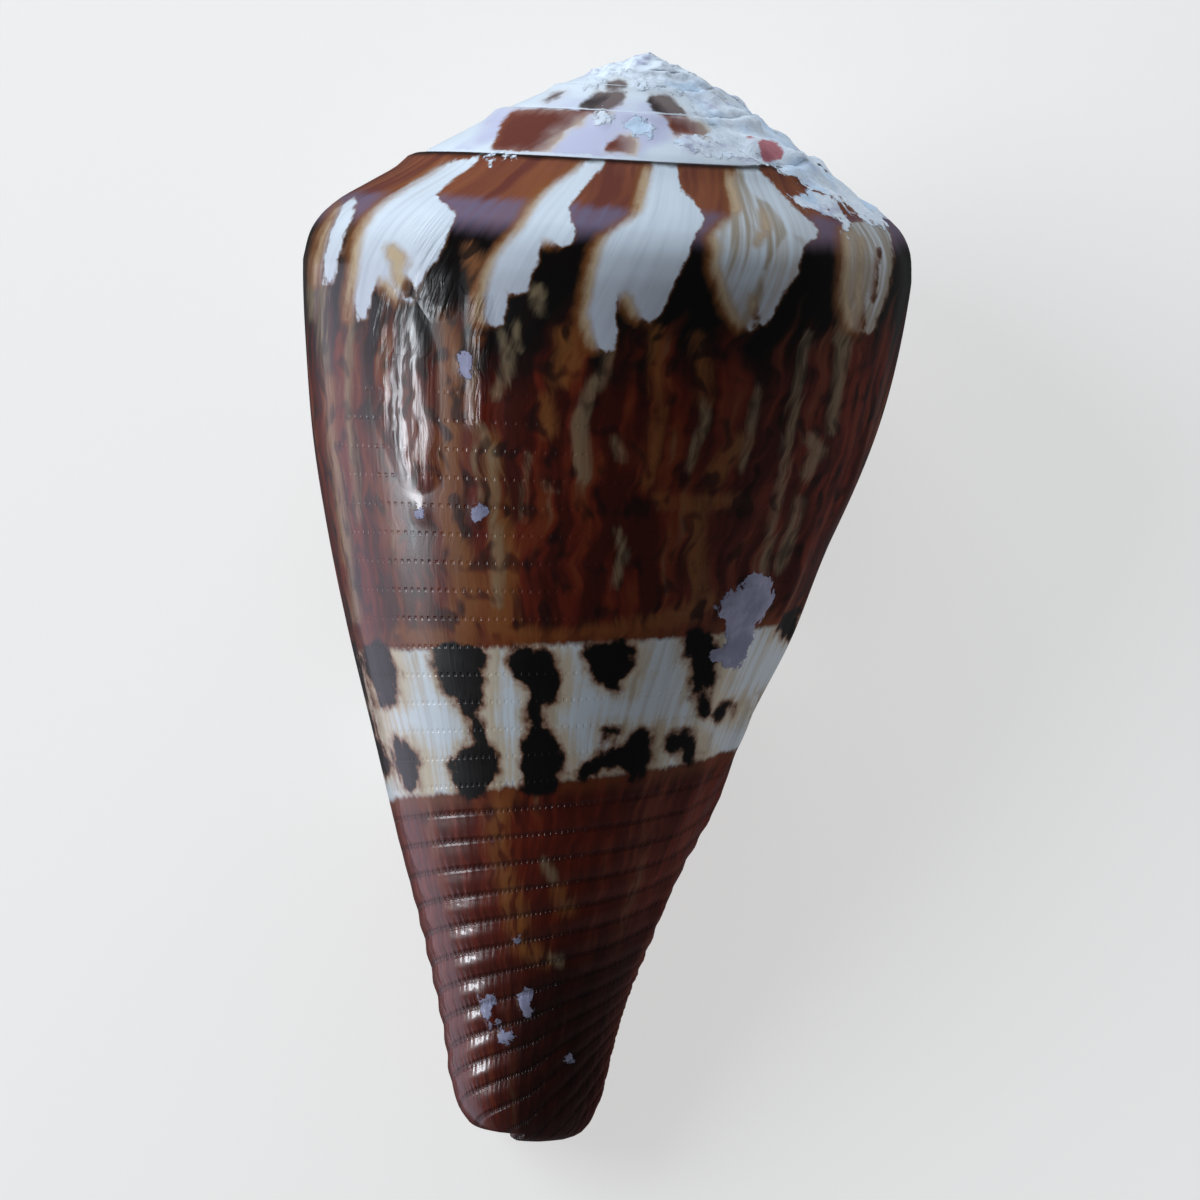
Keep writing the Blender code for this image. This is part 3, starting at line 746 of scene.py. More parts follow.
def surface_marks(turn, row, radius, height, wall):
    """Depth of every kind of mark at each place, by name."""
    angle = angle_of(turn)
    turned = (angle + 180.0) % 360.0 - 180.0
    line = spiral_line(turn, height)
    x, y = front_view(angle, radius, height)
    front = fall_over(np.abs(turned), *FRONT_REACH)
    on_last = (turn < 2.0 + lip_shift(2.0, row) + 1e-6) | (row > ATTACH_ROW + 1e-6)
    on_body = on_last & (row > 1.0)

    def seen(depth, hidden=NO_MARK, where=True):
        """Drawn depth on the front, the hidden one behind it, and none elsewhere."""
        mixed = front * np.maximum(depth, NO_MARK) + (1.0 - front) * np.maximum(hidden, NO_MARK)
        return np.where(where, mixed, NO_MARK)

    hidden_flames, hidden_warm, hidden_spots = hidden_marks(turned, row, radius, height, line)
    bites = deepest(x, y, FLAME_BITES, path_depth)
    flames = seen(np.minimum(deepest(x, y, FLAMES, outline_depth), -bites), hidden_flames, on_last)
    warm = seen(deepest(x + WARM_SHIFT[0], y + WARM_SHIFT[1], FLAMES, outline_depth), hidden_warm, on_last)
    spots = seen(deepest(x, y, BAND_SPOTS, path_depth), hidden_spots)
    tinge = seen(deepest(x - TINGE_SHIFT, y, BAND_SPOTS, path_depth), hidden_spots)
    sagged = line - BAND_SAG * fall_over(turn, *SAG_TURNS)
    band = np.minimum(sagged - BAND_TOP, BAND_BOTTOM - sagged)
    rate, step, depth, shift = BLOTCH_WAVE
    around = np.sin(turned * rate + step * np.floor(turn / 2.0)) * depth - shift
    blotches = seen(deepest(x, y, SPIRE_BLOTCHES, outline_depth), around, ~on_last)
    core = seen(deepest(x + CORE_SHIFT, y, SPIRE_BLOTCHES, outline_depth), around, ~on_last)
    near_spire = rise_over(turn, *SPIRE_TURNS) * fall_over(row, ATTACH_ROW, SPIRE_ROWS)
    loss = CRUST_LOSS[0] * np.abs(turned - CRUST_MIDDLE) + CRUST_LOSS[1] * height
    hidden_crust = np.minimum(CRUST_DEPTH - loss, CRUST_MOST)
    return {
        "turn": turn,
        "line": line,
        "row": row,
        "flames": flames,
        "warm": warm,
        "band": np.where(on_body, band, NO_MARK),
        "spots": np.where(on_body, spots, NO_MARK),
        "tinge": np.where(on_body, tinge, NO_MARK),
        "blotch": blotches,
        "core": core,
        "beige": seen(deepest(x, y, BEIGE_PATHS, path_depth), where=on_last),
        "ochre": seen(deepest(x, y, OCHRE_PATHS, path_depth), where=on_last),
        "wrinkled": seen(deepest(x, y, WRINKLED_PATHS, path_depth), where=on_last),
        "crust": seen(deepest(x, y, CRUST_OUTLINES, outline_depth), hidden_crust),
        "flake": seen(deepest(x, y, FLAKE_OUTLINES, outline_depth)),
        "red": seen(deepest(x, y, RED_OUTLINES, outline_depth)),
        "spire": np.where(on_last, near_spire, 1.0),
        "inner": np.broadcast_to(np.asarray(wall, dtype=float), np.shape(radius)),
    }


def lay_down(angle, radius, height):
    """Places in metres, in the frame of the shell as it lies."""
    turned = np.radians(angle + LIE_ROLL)
    across = radius * np.sin(turned)
    upward = radius * np.cos(turned)
    pitch = math.radians(LIE_PITCH)
    forward = -height * math.cos(pitch) - upward * math.sin(pitch)
    lift = np.maximum(-height * math.sin(pitch) + upward * math.cos(pitch), REST_LEVEL)
    return (np.stack([across, forward, lift], axis=-1) + np.array(LIE_SHIFT)) * MM


def fine_relief(turn, row, radius, height, marks):
    """Small rises that the solid model leaves out: crust grains, flakes, cords and growth wrinkles."""
    angle = np.radians(angle_of(turn))
    places = np.stack([radius * np.sin(angle), radius * np.cos(angle), -height], axis=-1)
    crust_cover = rise_over(marks["crust"], *CRUST_EDGE)
    lumps = wave_noise(places, LUMP_SCALE, 3)
    grains = wave_noise(places, GRAIN_SCALE, 7)
    crust = CRUST_LIFT + CRUST_LUMP * np.maximum(lumps, LUMP_LOWEST) + CRUST_GRAIN * grains
    flake = FLAKE_RISE * smooth_step((marks["flake"] + 0.12 + 0.12 * grains) / 0.24)
    line = marks["line"]
    groove = np.cos(2.0 * math.pi * line / RIDGE_PITCH)
    low = rise_over(line, *CORD_LINES) * fall_over(height, *CORD_END)
    beads = np.cos(2.0 * math.pi * turn * BEADS_PER_TURN)
    cords = low * (CORD_RISE * groove + BEAD_RISE * beads * smooth_step(0.5 - 0.5 * groove))
    growth_grid = np.stack([turn * WRINKLES_PER_TURN, line * 0.1, 0.0 * row], axis=-1)
    fine_grid = np.stack([turn * FINE_WRINKLES_PER_TURN, line * 0.35, 0.0 * row], axis=-1)
    wrinkled = rise_over(marks["wrinkled"], *WRINKLED_EDGE)
    wrinkle = WRINKLE_RISE * wave_noise(growth_grid, 1.0, 11)
    wrinkle = wrinkle + WRINKLE_RISE * wrinkled * wave_noise(fine_grid, 1.0, 5)
    edge_step = STREAK_STEP * rise_over(marks["beige"], *STREAK_EDGE)
    plain = (cords + (wrinkle + edge_step) * smooth_step(row / 0.2)) * (1.0 - marks["spire"])
    return crust_cover * crust + flake + plain * (1.0 - crust_cover)


class Patch:
    """One grid of the shell: places by angle, radius and height, with its marks."""

    def __init__(self, turn, row, angle, radius, height, wall):
        self.turn, self.row = turn, row
        self.angle, self.radius, self.height = angle, radius, height
        marks = surface_marks(turn, row, radius, height, wall)
        self.marks = {name: np.array(values, dtype=float) for name, values in marks.items()}

    def share(self, mine, other, theirs):
        """Take places and marks from another patch where the two meet."""
        for name in PLACE_NAMES:
            getattr(self, name)[mine] = getattr(other, name)[theirs]
        for name in self.marks:
            self.marks[name][mine] = other.marks[name][theirs]

    def raise_fine(self):
        """Add the fine relief along the surface's own direction."""
        across, down = profile_normal(self.turn, self.row)
        rise = fine_relief(self.turn, self.row, self.radius, self.height, self.marks)
        self.radius = self.radius + rise * across
        self.height = self.height + rise * down


def make_patch(surface, columns, rows, wall):
    """Patch of a surface over a grid of columns and rows."""
    column, row = np.meshgrid(columns, rows, indexing="ij")
    angle, radius, height = surface(column, row)
    return Patch(turn_of(angle), row.copy(), angle, radius, height, wall)


def patch_from(lines, wall):
    """Patch whose columns are lines taken from other patches."""
    stacked = [np.stack([line[name] for line in lines]) for name in PLACE_NAMES]
    return Patch(*stacked, wall)


def line_of(patch, where):
    """One line of vertices of a patch, by name."""
    return {name: getattr(patch, name)[where] for name in PLACE_NAMES}


def mix_lines(first, second, share):
    """Line part of the way from one line to another."""
    return {name: first[name] + share * (second[name] - first[name]) for name in first}


def toward_tip(line, share, fall):
    """Move a line sideways and down towards the tip of the base."""
    tip_across = TIP_OFFSET * math.sin(math.radians(TIP_ANGLE))
    tip_forward = TIP_OFFSET * math.cos(math.radians(TIP_ANGLE))
    across = line["radius"] * np.sin(np.radians(line["angle"]))
    forward = line["radius"] * np.cos(np.radians(line["angle"]))
    across = across + share * (tip_across - across)
    forward = forward + share * (tip_forward - forward)
    moved = dict(line)
    moved["angle"] = np.degrees(np.arctan2(across, forward))
    moved["radius"] = np.hypot(across, forward)
    moved["height"] = line["height"] + fall * (SHELL_LENGTH - line["height"])
    return moved


def shell_rows():
    """Rows of the outer surface and the positions of two of them."""
    far_gap, near_gap = ROW_GAPS
    above = np.append(np.linspace(0.0, ATTACH_ROW - far_gap, ROWS_ABOVE), [ATTACH_ROW - near_gap, ATTACH_ROW])
    over = np.linspace(ATTACH_ROW, 1.0, ROWS_OVER)[1:]
    body = np.linspace(1.0, RIDGED_ROW, ROWS_BODY)[1:]
    ridged = np.linspace(RIDGED_ROW, 2.0, ROWS_RIDGED)[1:]
    rows = np.concatenate([above, over, body, ridged])
    attach = len(above) - 1
    corner = attach + int(np.argmin(abs(over - CORNER_ROW))) + 1
    return rows, attach, corner


def build_patches(count):
    """Every patch of the closed shell, with shared edges made equal."""
    step = 2.0 / count
    rows, attach, corner = shell_rows()
    final = int(round(SPIRE_WHORLS * count)) + count
    deep = int(round(APERTURE_TURNS / step))

    suture = make_patch(outside, np.arange(final + 1) * step, rows[:1], 0.0)
    spire = make_patch(outside, np.arange(count, final + 1) * step, rows[:attach + 1], 0.0)
    body = make_patch(outside, np.arange(count + 1) * step, rows, 0.0)
    opposite = make_patch(parietal, np.arange(count, count + deep + 1) * step, rows[corner:], 1.0)
    for patch in (suture, spire, body):
        patch.raise_fine()
    spire.share((slice(None), 0), suture, (slice(count, final + 1), 0))
    spire.share((slice(None), -1), suture, (slice(0, final + 1 - count), 0))
    body.share((slice(None), 0), suture, (slice(0, count + 1), 0))
    body.share((count, slice(0, attach + 1)), spire, (0, slice(None)))
    for name in PLACE_NAMES[2:]:
        places = getattr(opposite, name)
        gap = getattr(body, name)[count, corner:] - places[0]
        for number in range(FADE_COLUMNS):
            places[number] += (1.0 - number / FADE_COLUMNS) * gap
    opposite.share((0, slice(None)), body, (count, slice(corner, None)))

    start = int(np.argmin(abs(rows - HOLLOW_ROW)))
    wall_rows = np.concatenate([[rows[start]], rows[start:]])
    hollow = make_patch(inside, np.arange(deep + 1) * step, wall_rows, 1.0)
    hollow.share((slice(None), 0), opposite, (slice(None), 0))

    outer = line_of(body, 0)
    trace = np.minimum(attach + np.arange(start), corner)
    seam = line_of(body, count)
    wall_line = line_of(hollow, 0)
    inner = {name: np.concatenate([seam[name][trace], wall_line[name][1:]]) for name in outer}
    inner["angle"] = inner["angle"] - np.where(inner["angle"] > outer["angle"] + 180.0, 360.0, 0.0)
    middle = []
    for share in LIP_RINGS:
        line = mix_lines(outer, inner, share)
        push = LIP_ROUND * math.sin(math.pi * share) * smooth_step(np.arange(len(rows)) / 6.0)
        line["angle"] = line["angle"] - np.degrees(push / line["radius"])
        line["height"] = line["height"] + 0.8 * push * rise_over(line["row"], 1.7, 0.3)
        middle.append(line)
    lip = patch_from([outer] + middle + [inner], 0.5)

    foot_outer = line_of(body, (slice(0, deep + 1), -1))
    foot_inner = line_of(hollow, (slice(None), -1))
    foot = []
    for number, share in enumerate(LIP_RINGS):
        line = mix_lines(foot_outer, foot_inner, share)
        line["height"] = line["height"] + LIP_ROUND * math.sin(math.pi * share)
        for name in line:
            line[name] = line[name].copy()
            line[name][0] = middle[number][name][-1]
        foot.append(line)
    rim = patch_from([foot_outer] + foot + [foot_inner], 0.3)

    extra = len(wall_rows) - (len(rows) - corner)
    back = line_of(opposite, deep)
    back = {name: np.concatenate([np.repeat(back[name][:1], extra), back[name]]) for name in back}
    end_wall = patch_from([line_of(hollow, deep), back], 1.0)

    pieces = [line_of(body, (slice(deep, count + 1), -1)), line_of(opposite, (slice(1, None), -1))]
    pieces.append({name: np.array([foot_inner[name][deep]]) for name in foot_inner})
    pieces.extend({name: np.array([line[name][deep]]) for name in line} for line in reversed(foot))
    pieces.append({name: np.array([foot_outer[name][deep]]) for name in foot_outer})
    loop = {name: np.concatenate([piece[name] for piece in pieces]) for name in foot_outer}
    base = patch_from([toward_tip(loop, share, fall) for share, fall in BASE_RINGS], 0.0)

    ring = line_of(suture, (slice(final - count, final + 1), 0))
    edge = line_of(spire, (-1, slice(1, None)))
    ring = {name: np.concatenate([ring[name], edge[name]]) for name in ring}
    apex = []
    for share in APEX_RINGS:
        line = dict(ring)
        line["radius"] = ring["radius"] * (1.0 - share)
        line["height"] = ring["height"] * (1.0 - share) ** APEX_POWER
        apex.append(line)
    point = patch_from(apex, 0.0)
    return [spire, body, opposite, hollow, lip, rim, end_wall, base, point]


def add_patch(number, patch):
    """Lay a grid primitive out over one patch and store its marks on it."""
    columns, rows = patch.radius.shape
    bpy.ops.object.select_all(action="DESELECT")
    bpy.ops.mesh.primitive_grid_add(x_subdivisions=rows - 1, y_subdivisions=columns - 1, size=1.0)
    piece = bpy.context.active_object
    piece.name = f"shell_patch_{number}"
    data = piece.data
    places = lay_down(patch.angle, patch.radius, patch.height)
    data.vertices.foreach_set("co", places.reshape(-1))
    for name, values in patch.marks.items():
        layer = data.attributes.new(name, "FLOAT", "POINT")
        layer.data.foreach_set("value", np.ascontiguousarray(values, dtype=np.float32).reshape(-1))
    data.update()
    return piece


# Growth noise: streaks, dashes, patches and hairs a half whorl
STREAKS_PER_TURN = 42.0
FINE_STREAKS_PER_TURN = 150.0
DASHES_PER_TURN = 46.0
PATCHES_PER_TURN = 7.0
HAIRS_PER_TURN = 260.0
CALM_STREAKS_PER_TURN = 110.0

# How the growth lines wander: waves a half whorl, waves a millimetre down, and reach in half whorls
SLOW_WANDER = (3.0, 0.12, 0.05)
QUICK_WANDER = (5.0, 0.45, 0.035)

# Noise over the surface, in waves a metre
BROAD_NOISE = 190.0
RAGGED_NOISE = 1300.0
CRUST_NOISE = 420.0
PORE_NOISE = 1500.0
BLUISH_NOISE = 260.0
SATIN_NOISE = 700.0

# Gloss: roughness of the polished shell and what each finish adds to it, then the coat over it
ROUGHNESS = 0.27
SATIN_ROUGHNESS = 0.14
DULL_ROUGHNESS = 0.4
SPIRE_ROUGHNESS = 0.12
WORN_ROUGHNESS = 0.3
COAT = 0.3
COAT_ROUGHNESS = 0.1
SPECULAR = 0.36
BUMP_STRENGTH = 0.6
BUMP_DISTANCE = 0.00012

# Where one colour gives way to the next, as a start and an end in spiral lines, turns or rows
# Lines over which the painted sheen on the shoulder comes in
SHEEN_LINES = (8.9, 9.6)
BELT_LINES = (10.1, 11.6)
BODY_LINES = (15.0, 20.0)
FLAME_END_LINES = (20.0, 24.0)
LILAC_LINES = (10.0, 16.0)
PIT_LINES = (17.5, 24.0)
DARK_BASE_LINES = (50.0, 57.0)
DARK_BASE_TURNS = ((0.5, 0.72), (1.0, 1.25))
DIRTY_TURNS = ((0.85, 0.88), (1.3, 1.5))
BARE_TURNS = (0.99, 1.04)
GREY_TURNS = (3.6, 3.9)
# Rows of the painted shadow just below the suture
SUTURE_SHADOW_ROWS = (0.09, 0.15)
# Rows of the painted shade below the suture inside the spire's blotches
SHADED_ROWS = (0.03, 0.16)
WORN_EDGE_ROWS = (0.69, 0.71)


class Value:
    """A shader socket that can be used in sums."""

    def __init__(self, tree, socket):
        self.tree = tree
        self.socket = socket

    def maths(self, operation, *others, swapped=False):
        """Value of a maths node fed by this socket and others."""
        node = self.tree.nodes.new("ShaderNodeMath")
        node.operation = operation
        feeds = [self, *others]
        if swapped:
            feeds.reverse()
        for place, feed in enumerate(feeds):
            connect(self.tree, feed, node.inputs[place])
        return Value(self.tree, node.outputs[0])

    def __add__(self, other):
        return self.maths("ADD", other)

    def __sub__(self, other):
        return self.maths("SUBTRACT", other)

    def __rsub__(self, other):
        return self.maths("SUBTRACT", other, swapped=True)

    def __mul__(self, other):
        return self.maths("MULTIPLY", other)

    def __truediv__(self, other):
        return self.maths("DIVIDE", other)

    def __rtruediv__(self, other):
        return self.maths("DIVIDE", other, swapped=True)

    __radd__ = __add__
    __rmul__ = __mul__

    def at_most(self, other):
        """Smaller of two values."""
        return self.maths("MINIMUM", other)

    def at_least(self, other):
        """Greater of two values."""
        return self.maths("MAXIMUM", other)

    def rise(self, low, high):
        """0 below low, 1 above high, and smooth between."""
        node = self.tree.nodes.new("ShaderNodeMapRange")
        node.interpolation_type = "SMOOTHSTEP"
        connect(self.tree, self, node.inputs["Value"])
        node.inputs["From Min"].default_value = low
        node.inputs["From Max"].default_value = high
        return Value(self.tree, node.outputs["Result"])

    def between(self, opening, closing):
        """Rise over the first range and fall over the second."""
        return self.rise(*opening) * (1.0 - self.rise(*closing))


def connect(tree, feed, socket):
    """Link a value to a socket, or set a constant on it."""
    if isinstance(feed, Value):
        tree.links.new(feed.socket, socket)
    elif hasattr(feed, "__len__") and len(feed) == 3:
        socket.default_value = (*feed, 1.0)
    else:
        socket.default_value = feed


class Paint:
    """Shader nodes of one material."""

    def __init__(self, name):
        self.material = bpy.data.materials.new(name)
        self.material.use_nodes = True
        self.tree = self.material.node_tree
        self.surface = self.tree.nodes["Principled BSDF"]

    def add(self, kind, output, settings=None, feeds=None):
        """Add one node and return the value of one of its outputs."""
        node = self.tree.nodes.new(kind)
        for name, setting in (settings or {}).items():
            setattr(node, name, setting)
        for name, feed in (feeds or {}).items():
            connect(self.tree, feed, node.inputs[name])
        return Value(self.tree, node.outputs[output])

    def stored(self, name):
        """Value stored on the mesh."""
        return self.add("ShaderNodeAttribute", "Fac", {"attribute_name": name})

    def vector(self, x, y, z):
        """Vector from three values."""
        return self.add("ShaderNodeCombineXYZ", "Vector", feeds={"X": x, "Y": y, "Z": z})

    def grain(self, place, scale, detail=2.0, roughness=0.5):
        """Noise from about 0 to 1."""
        feeds = {"Vector": place, "Scale": scale, "Detail": detail, "Roughness": roughness}
        return self.add("ShaderNodeTexNoise", "Fac", feeds=feeds)

    def blend(self, share, first, second):
        """Colour that goes from the first to the second."""
        node = self.tree.nodes.new("ShaderNodeMix")
        node.data_type = "RGBA"
        connect(self.tree, share, node.inputs[0])
        connect(self.tree, first, node.inputs[6])
        connect(self.tree, second, node.inputs[7])
        return Value(self.tree, node.outputs[2])

    def finish(self, **feeds):
        """Feed the surface's sockets by name."""
        for name, feed in feeds.items():
            connect(self.tree, feed, self.surface.inputs[name.replace("_", " ")])
        return self.material


class Growth:
    """Noises that follow the growth lines, from turns round the shell and millimetres down it."""

    def __init__(self, paint, turn, line, row):
        leaning = turn + line.at_most(FLAME_FOOT) * FLAME_LEAN
        slow_turns, slow_lines, slow_reach = SLOW_WANDER
        quick_turns, quick_lines, quick_reach = QUICK_WANDER
        slow = paint.grain(paint.vector(turn * slow_turns, line * slow_lines, 1.0), 1.0, 1.0) - 0.5
        quick = paint.grain(paint.vector(turn * quick_turns, line * quick_lines, 7.0), 1.0, 1.0) - 0.5
        self.wander = slow * slow_reach + quick * quick_reach
        calm = leaning + slow * 0.03
        waved = leaning + self.wander
        self.streak = paint.grain(paint.vector(waved * STREAKS_PER_TURN, line * 0.15, row * 0.3), 1.0, 2.0)
        fine_place = paint.vector(waved * FINE_STREAKS_PER_TURN, line * 0.25, row * 0.5)
        self.fine = paint.grain(fine_place, 1.0, 2.0, 0.6)
        self.dash = paint.grain(paint.vector(waved * DASHES_PER_TURN, line * 0.62, 4.0), 1.0, 1.0)
        self.patchy = paint.grain(paint.vector(turn * PATCHES_PER_TURN, line * 0.1, 2.0), 1.0, 2.0)
        groove = 0.0 - (line * (2.0 * math.pi / RIDGE_PITCH)).maths("COSINE")
        self.groove = groove.rise(0.55, 1.0)
        self.pit_row = groove.rise(0.86, 1.0)
        self.hair = paint.grain(paint.vector(calm * HAIRS_PER_TURN, line * 0.3, row), 1.0, 2.0)
        self.calm = paint.grain(paint.vector(calm * CALM_STREAKS_PER_TURN, line * 0.12, 5.0), 1.0, 2.0)


def brown_colour(paint, colours, growth, marks):
    """Brown of the last whorl: ramp, painted sheen on the shoulder, dark belt and the streaked body, with
    painted shade in the lower grooves.
    """
    uneven = growth.streak + (growth.patchy - 0.5) * 0.5
    body = paint.blend(growth.streak.rise(0.4, 0.6) * 0.8, colours.dark_brown, colours.red_brown)
    body = paint.blend(uneven.rise(0.53, 0.7) * 0.5, body, colours.golden_brown)
    body = paint.blend(uneven.rise(0.66, 0.8) * 0.3, body, colours.beige)
    body = paint.blend(growth.dash.rise(0.5, 0.7) * 0.7, body, colours.black_brown)
    low = marks["line"].rise(BAND_BOTTOM, BAND_BOTTOM + 3.0)
    body = paint.blend(low * 0.4, body, colours.red_brown)
    ramp = paint.blend(growth.streak.rise(0.35, 0.65), colours.ramp_brown, colours.warm_brown)
    level = marks["line"] + (growth.calm - 0.5) * 0.6 + (growth.streak - 0.5) * 0.8
    # Painted sheen: a mauve reflection painted over the shoulder's rounding
    painted_sheen = level.rise(*SHEEN_LINES) * (0.45 + growth.calm * 0.7)
    ramp = paint.blend(painted_sheen, ramp, colours.shoulder_sheen)
    brown = paint.blend(level.rise(*BELT_LINES), ramp, colours.black_brown)
    fringe = marks["line"] + (growth.streak - 0.5) * 10.0
    brown = paint.blend(fringe.rise(*BODY_LINES), brown, body)
    middle = marks["turn"].between(*DARK_BASE_TURNS)
    brown = paint.blend(marks["line"].rise(*DARK_BASE_LINES) * middle * 0.75, brown, colours.black_brown)
    ochre = (marks["ochre"] + growth.wander * 9.0 + (growth.fine - 0.5) * 1.2).rise(-0.55, 0.45)
    brown = paint.blend(ochre * (1.0 - growth.dash.rise(0.5, 0.64) * 0.85) * 0.8, brown, colours.ochre)
    beige = (marks["beige"] + growth.wander * 5.0 + (growth.fine - 0.5) * 0.9).rise(-0.3, 0.3)
    beige = beige * (0.3 + growth.calm * 0.6) * (1.0 - growth.dash.rise(0.5, 0.7) * 0.6)
    brown = paint.blend(beige, brown, colours.beige)
    # Painted shade: darker in the grooves between the cords of the lower body
    return paint.blend(growth.groove * low * 0.35, brown, colours.black_brown)


def pale_colour(paint, colours, growth, marks):
    """White of the flames and the band, streaked along the growth lines."""
    white = paint.blend(growth.calm.rise(0.42, 0.75) * 0.3, colours.white, colours.grey_white)
    creamy = growth.patchy.rise(0.5, 0.7) * growth.calm.rise(0.4, 0.65)
    white = paint.blend(creamy * 0.4, white, colours.cream)
    lilac = marks["line"].between(LILAC_LINES, FLAME_END_LINES)
    white = paint.blend(lilac * 0.3, white, colours.lilac)
    dirty_side = marks["turn"].between(*DIRTY_TURNS) * (1.0 - marks["line"].rise(*FLAME_END_LINES))
    bare = (marks["flames"] - marks["warm"]).rise(0.0, 0.5) * (1.0 - marks["turn"].rise(*BARE_TURNS))
    dirt = dirty_side * (growth.calm * 0.6 + growth.streak * 0.4).rise(0.3, 0.6) * (1.0 - bare * 0.8)
    return paint.blend(dirt * 0.8, white, colours.beige)


def with_flames(paint, colours, growth, marks, ragged, brown, white):
    """Lay the flames over the brown, sharp on one side and warm and soft on the other."""
    loose = ragged * 0.4 + (growth.calm - 0.5) * 0.5
    warm = marks["warm"] + loose
    marked = paint.blend(warm.rise(-0.35, 0.3) * 0.75, brown, colours.ochre)
    marked = paint.blend(warm.rise(0.05, 0.75) * 0.85, marked, colours.cream)
    rough_side = marks["flames"] + ragged * 0.55 + (growth.fine - 0.5) * 0.2
    marked = paint.blend(rough_side.rise(-0.2, 0.0) * 0.35, marked, colours.ochre)
    sharp = rough_side.rise(-0.08, 0.12)
    soft = (marks["flames"] + loose * 0.8).rise(-0.3, 0.4)
    soft_side = (marks["warm"] - marks["flames"]).rise(-0.05, 0.3)
    return paint.blend(sharp + (soft - sharp) * soft_side, marked, white)


def with_band(paint, colours, growth, marks, ragged, marked, white):
    """Lay the pale band with its black spots over the rest."""
    loose = ragged * 0.5 + (growth.calm - 0.5) * 0.4
    jagged = ragged * 0.9 + (growth.dash - 0.5) * 0.9
    near_spot = (marks["spots"] + jagged).rise(-0.45, 0.1)
    gold_edge = (marks["band"] + loose).rise(-1.3, -0.1) * (1.0 - near_spot)
    marked = paint.blend(gold_edge * 0.6, marked, colours.golden_brown)
    tinge = (marks["tinge"].at_least(marks["spots"]) + ragged + (growth.calm - 0.5) * 2.0).rise(-1.2, 0.3)
    pale = paint.blend(tinge * 0.8, white, colours.cream)
    pale = paint.blend(tinge * growth.streak.rise(0.45, 0.65) * 0.4, pale, colours.beige)
    pale = paint.blend(near_spot * 0.85, pale, colours.golden_brown)
    marked = paint.blend((marks["band"] + loose * 1.1).rise(-0.1, 0.3), marked, pale)
    spots = (marks["spots"] + jagged).rise(-0.12, 0.16) * (marks["band"] + loose).rise(-0.8, -0.4)
    return paint.blend(spots, marked, colours.black_brown)


def spire_colour(paint, colours, growth, marks, broad, ragged):
    """Whorls of the spire: worn lilac white with brown and grey blotches, with painted shade below each
    suture inside them.
    """
    white = paint.blend(broad.rise(0.42, 0.62), colours.white, colours.lilac_white)
    inside = (marks["blotch"] + ragged * 0.4 + (growth.streak - 0.5) * 0.8).rise(-0.1, 0.5)
    warm = paint.blend(inside, colours.warm_brown, colours.ramp_brown)
    early = marks["turn"].rise(*GREY_TURNS)
    brown = paint.blend(early, warm, colours.spire_grey)
    core = (marks["core"] + (growth.streak - 0.5) * 0.8 + ragged * 0.4).rise(-1.0, 0.6)
    core = core.at_least(early * 0.75)
    brown = paint.blend(core, colours.ochre, brown)
    # Painted shade: darker just below the suture inside the blotches, under the ledge of the whorl above
    brown = paint.blend((1.0 - marks["row"].rise(*SHADED_ROWS)) * 0.6, brown, colours.black_brown)
    edge = (marks["blotch"] + ragged * 0.5).rise(-0.35, 0.1)
    spire = paint.blend(edge * (1.0 - core) * 0.7, white, colours.cream)
    cover = (marks["blotch"] + ragged * 0.5).rise(-0.08, 0.2) * (0.4 + core * 0.6)
    blotch = paint.blend(cover, spire, brown)
    return paint.blend((marks["row"] + ragged * 0.08).rise(*WORN_EDGE_ROWS) * 0.8, blotch, colours.chalk)


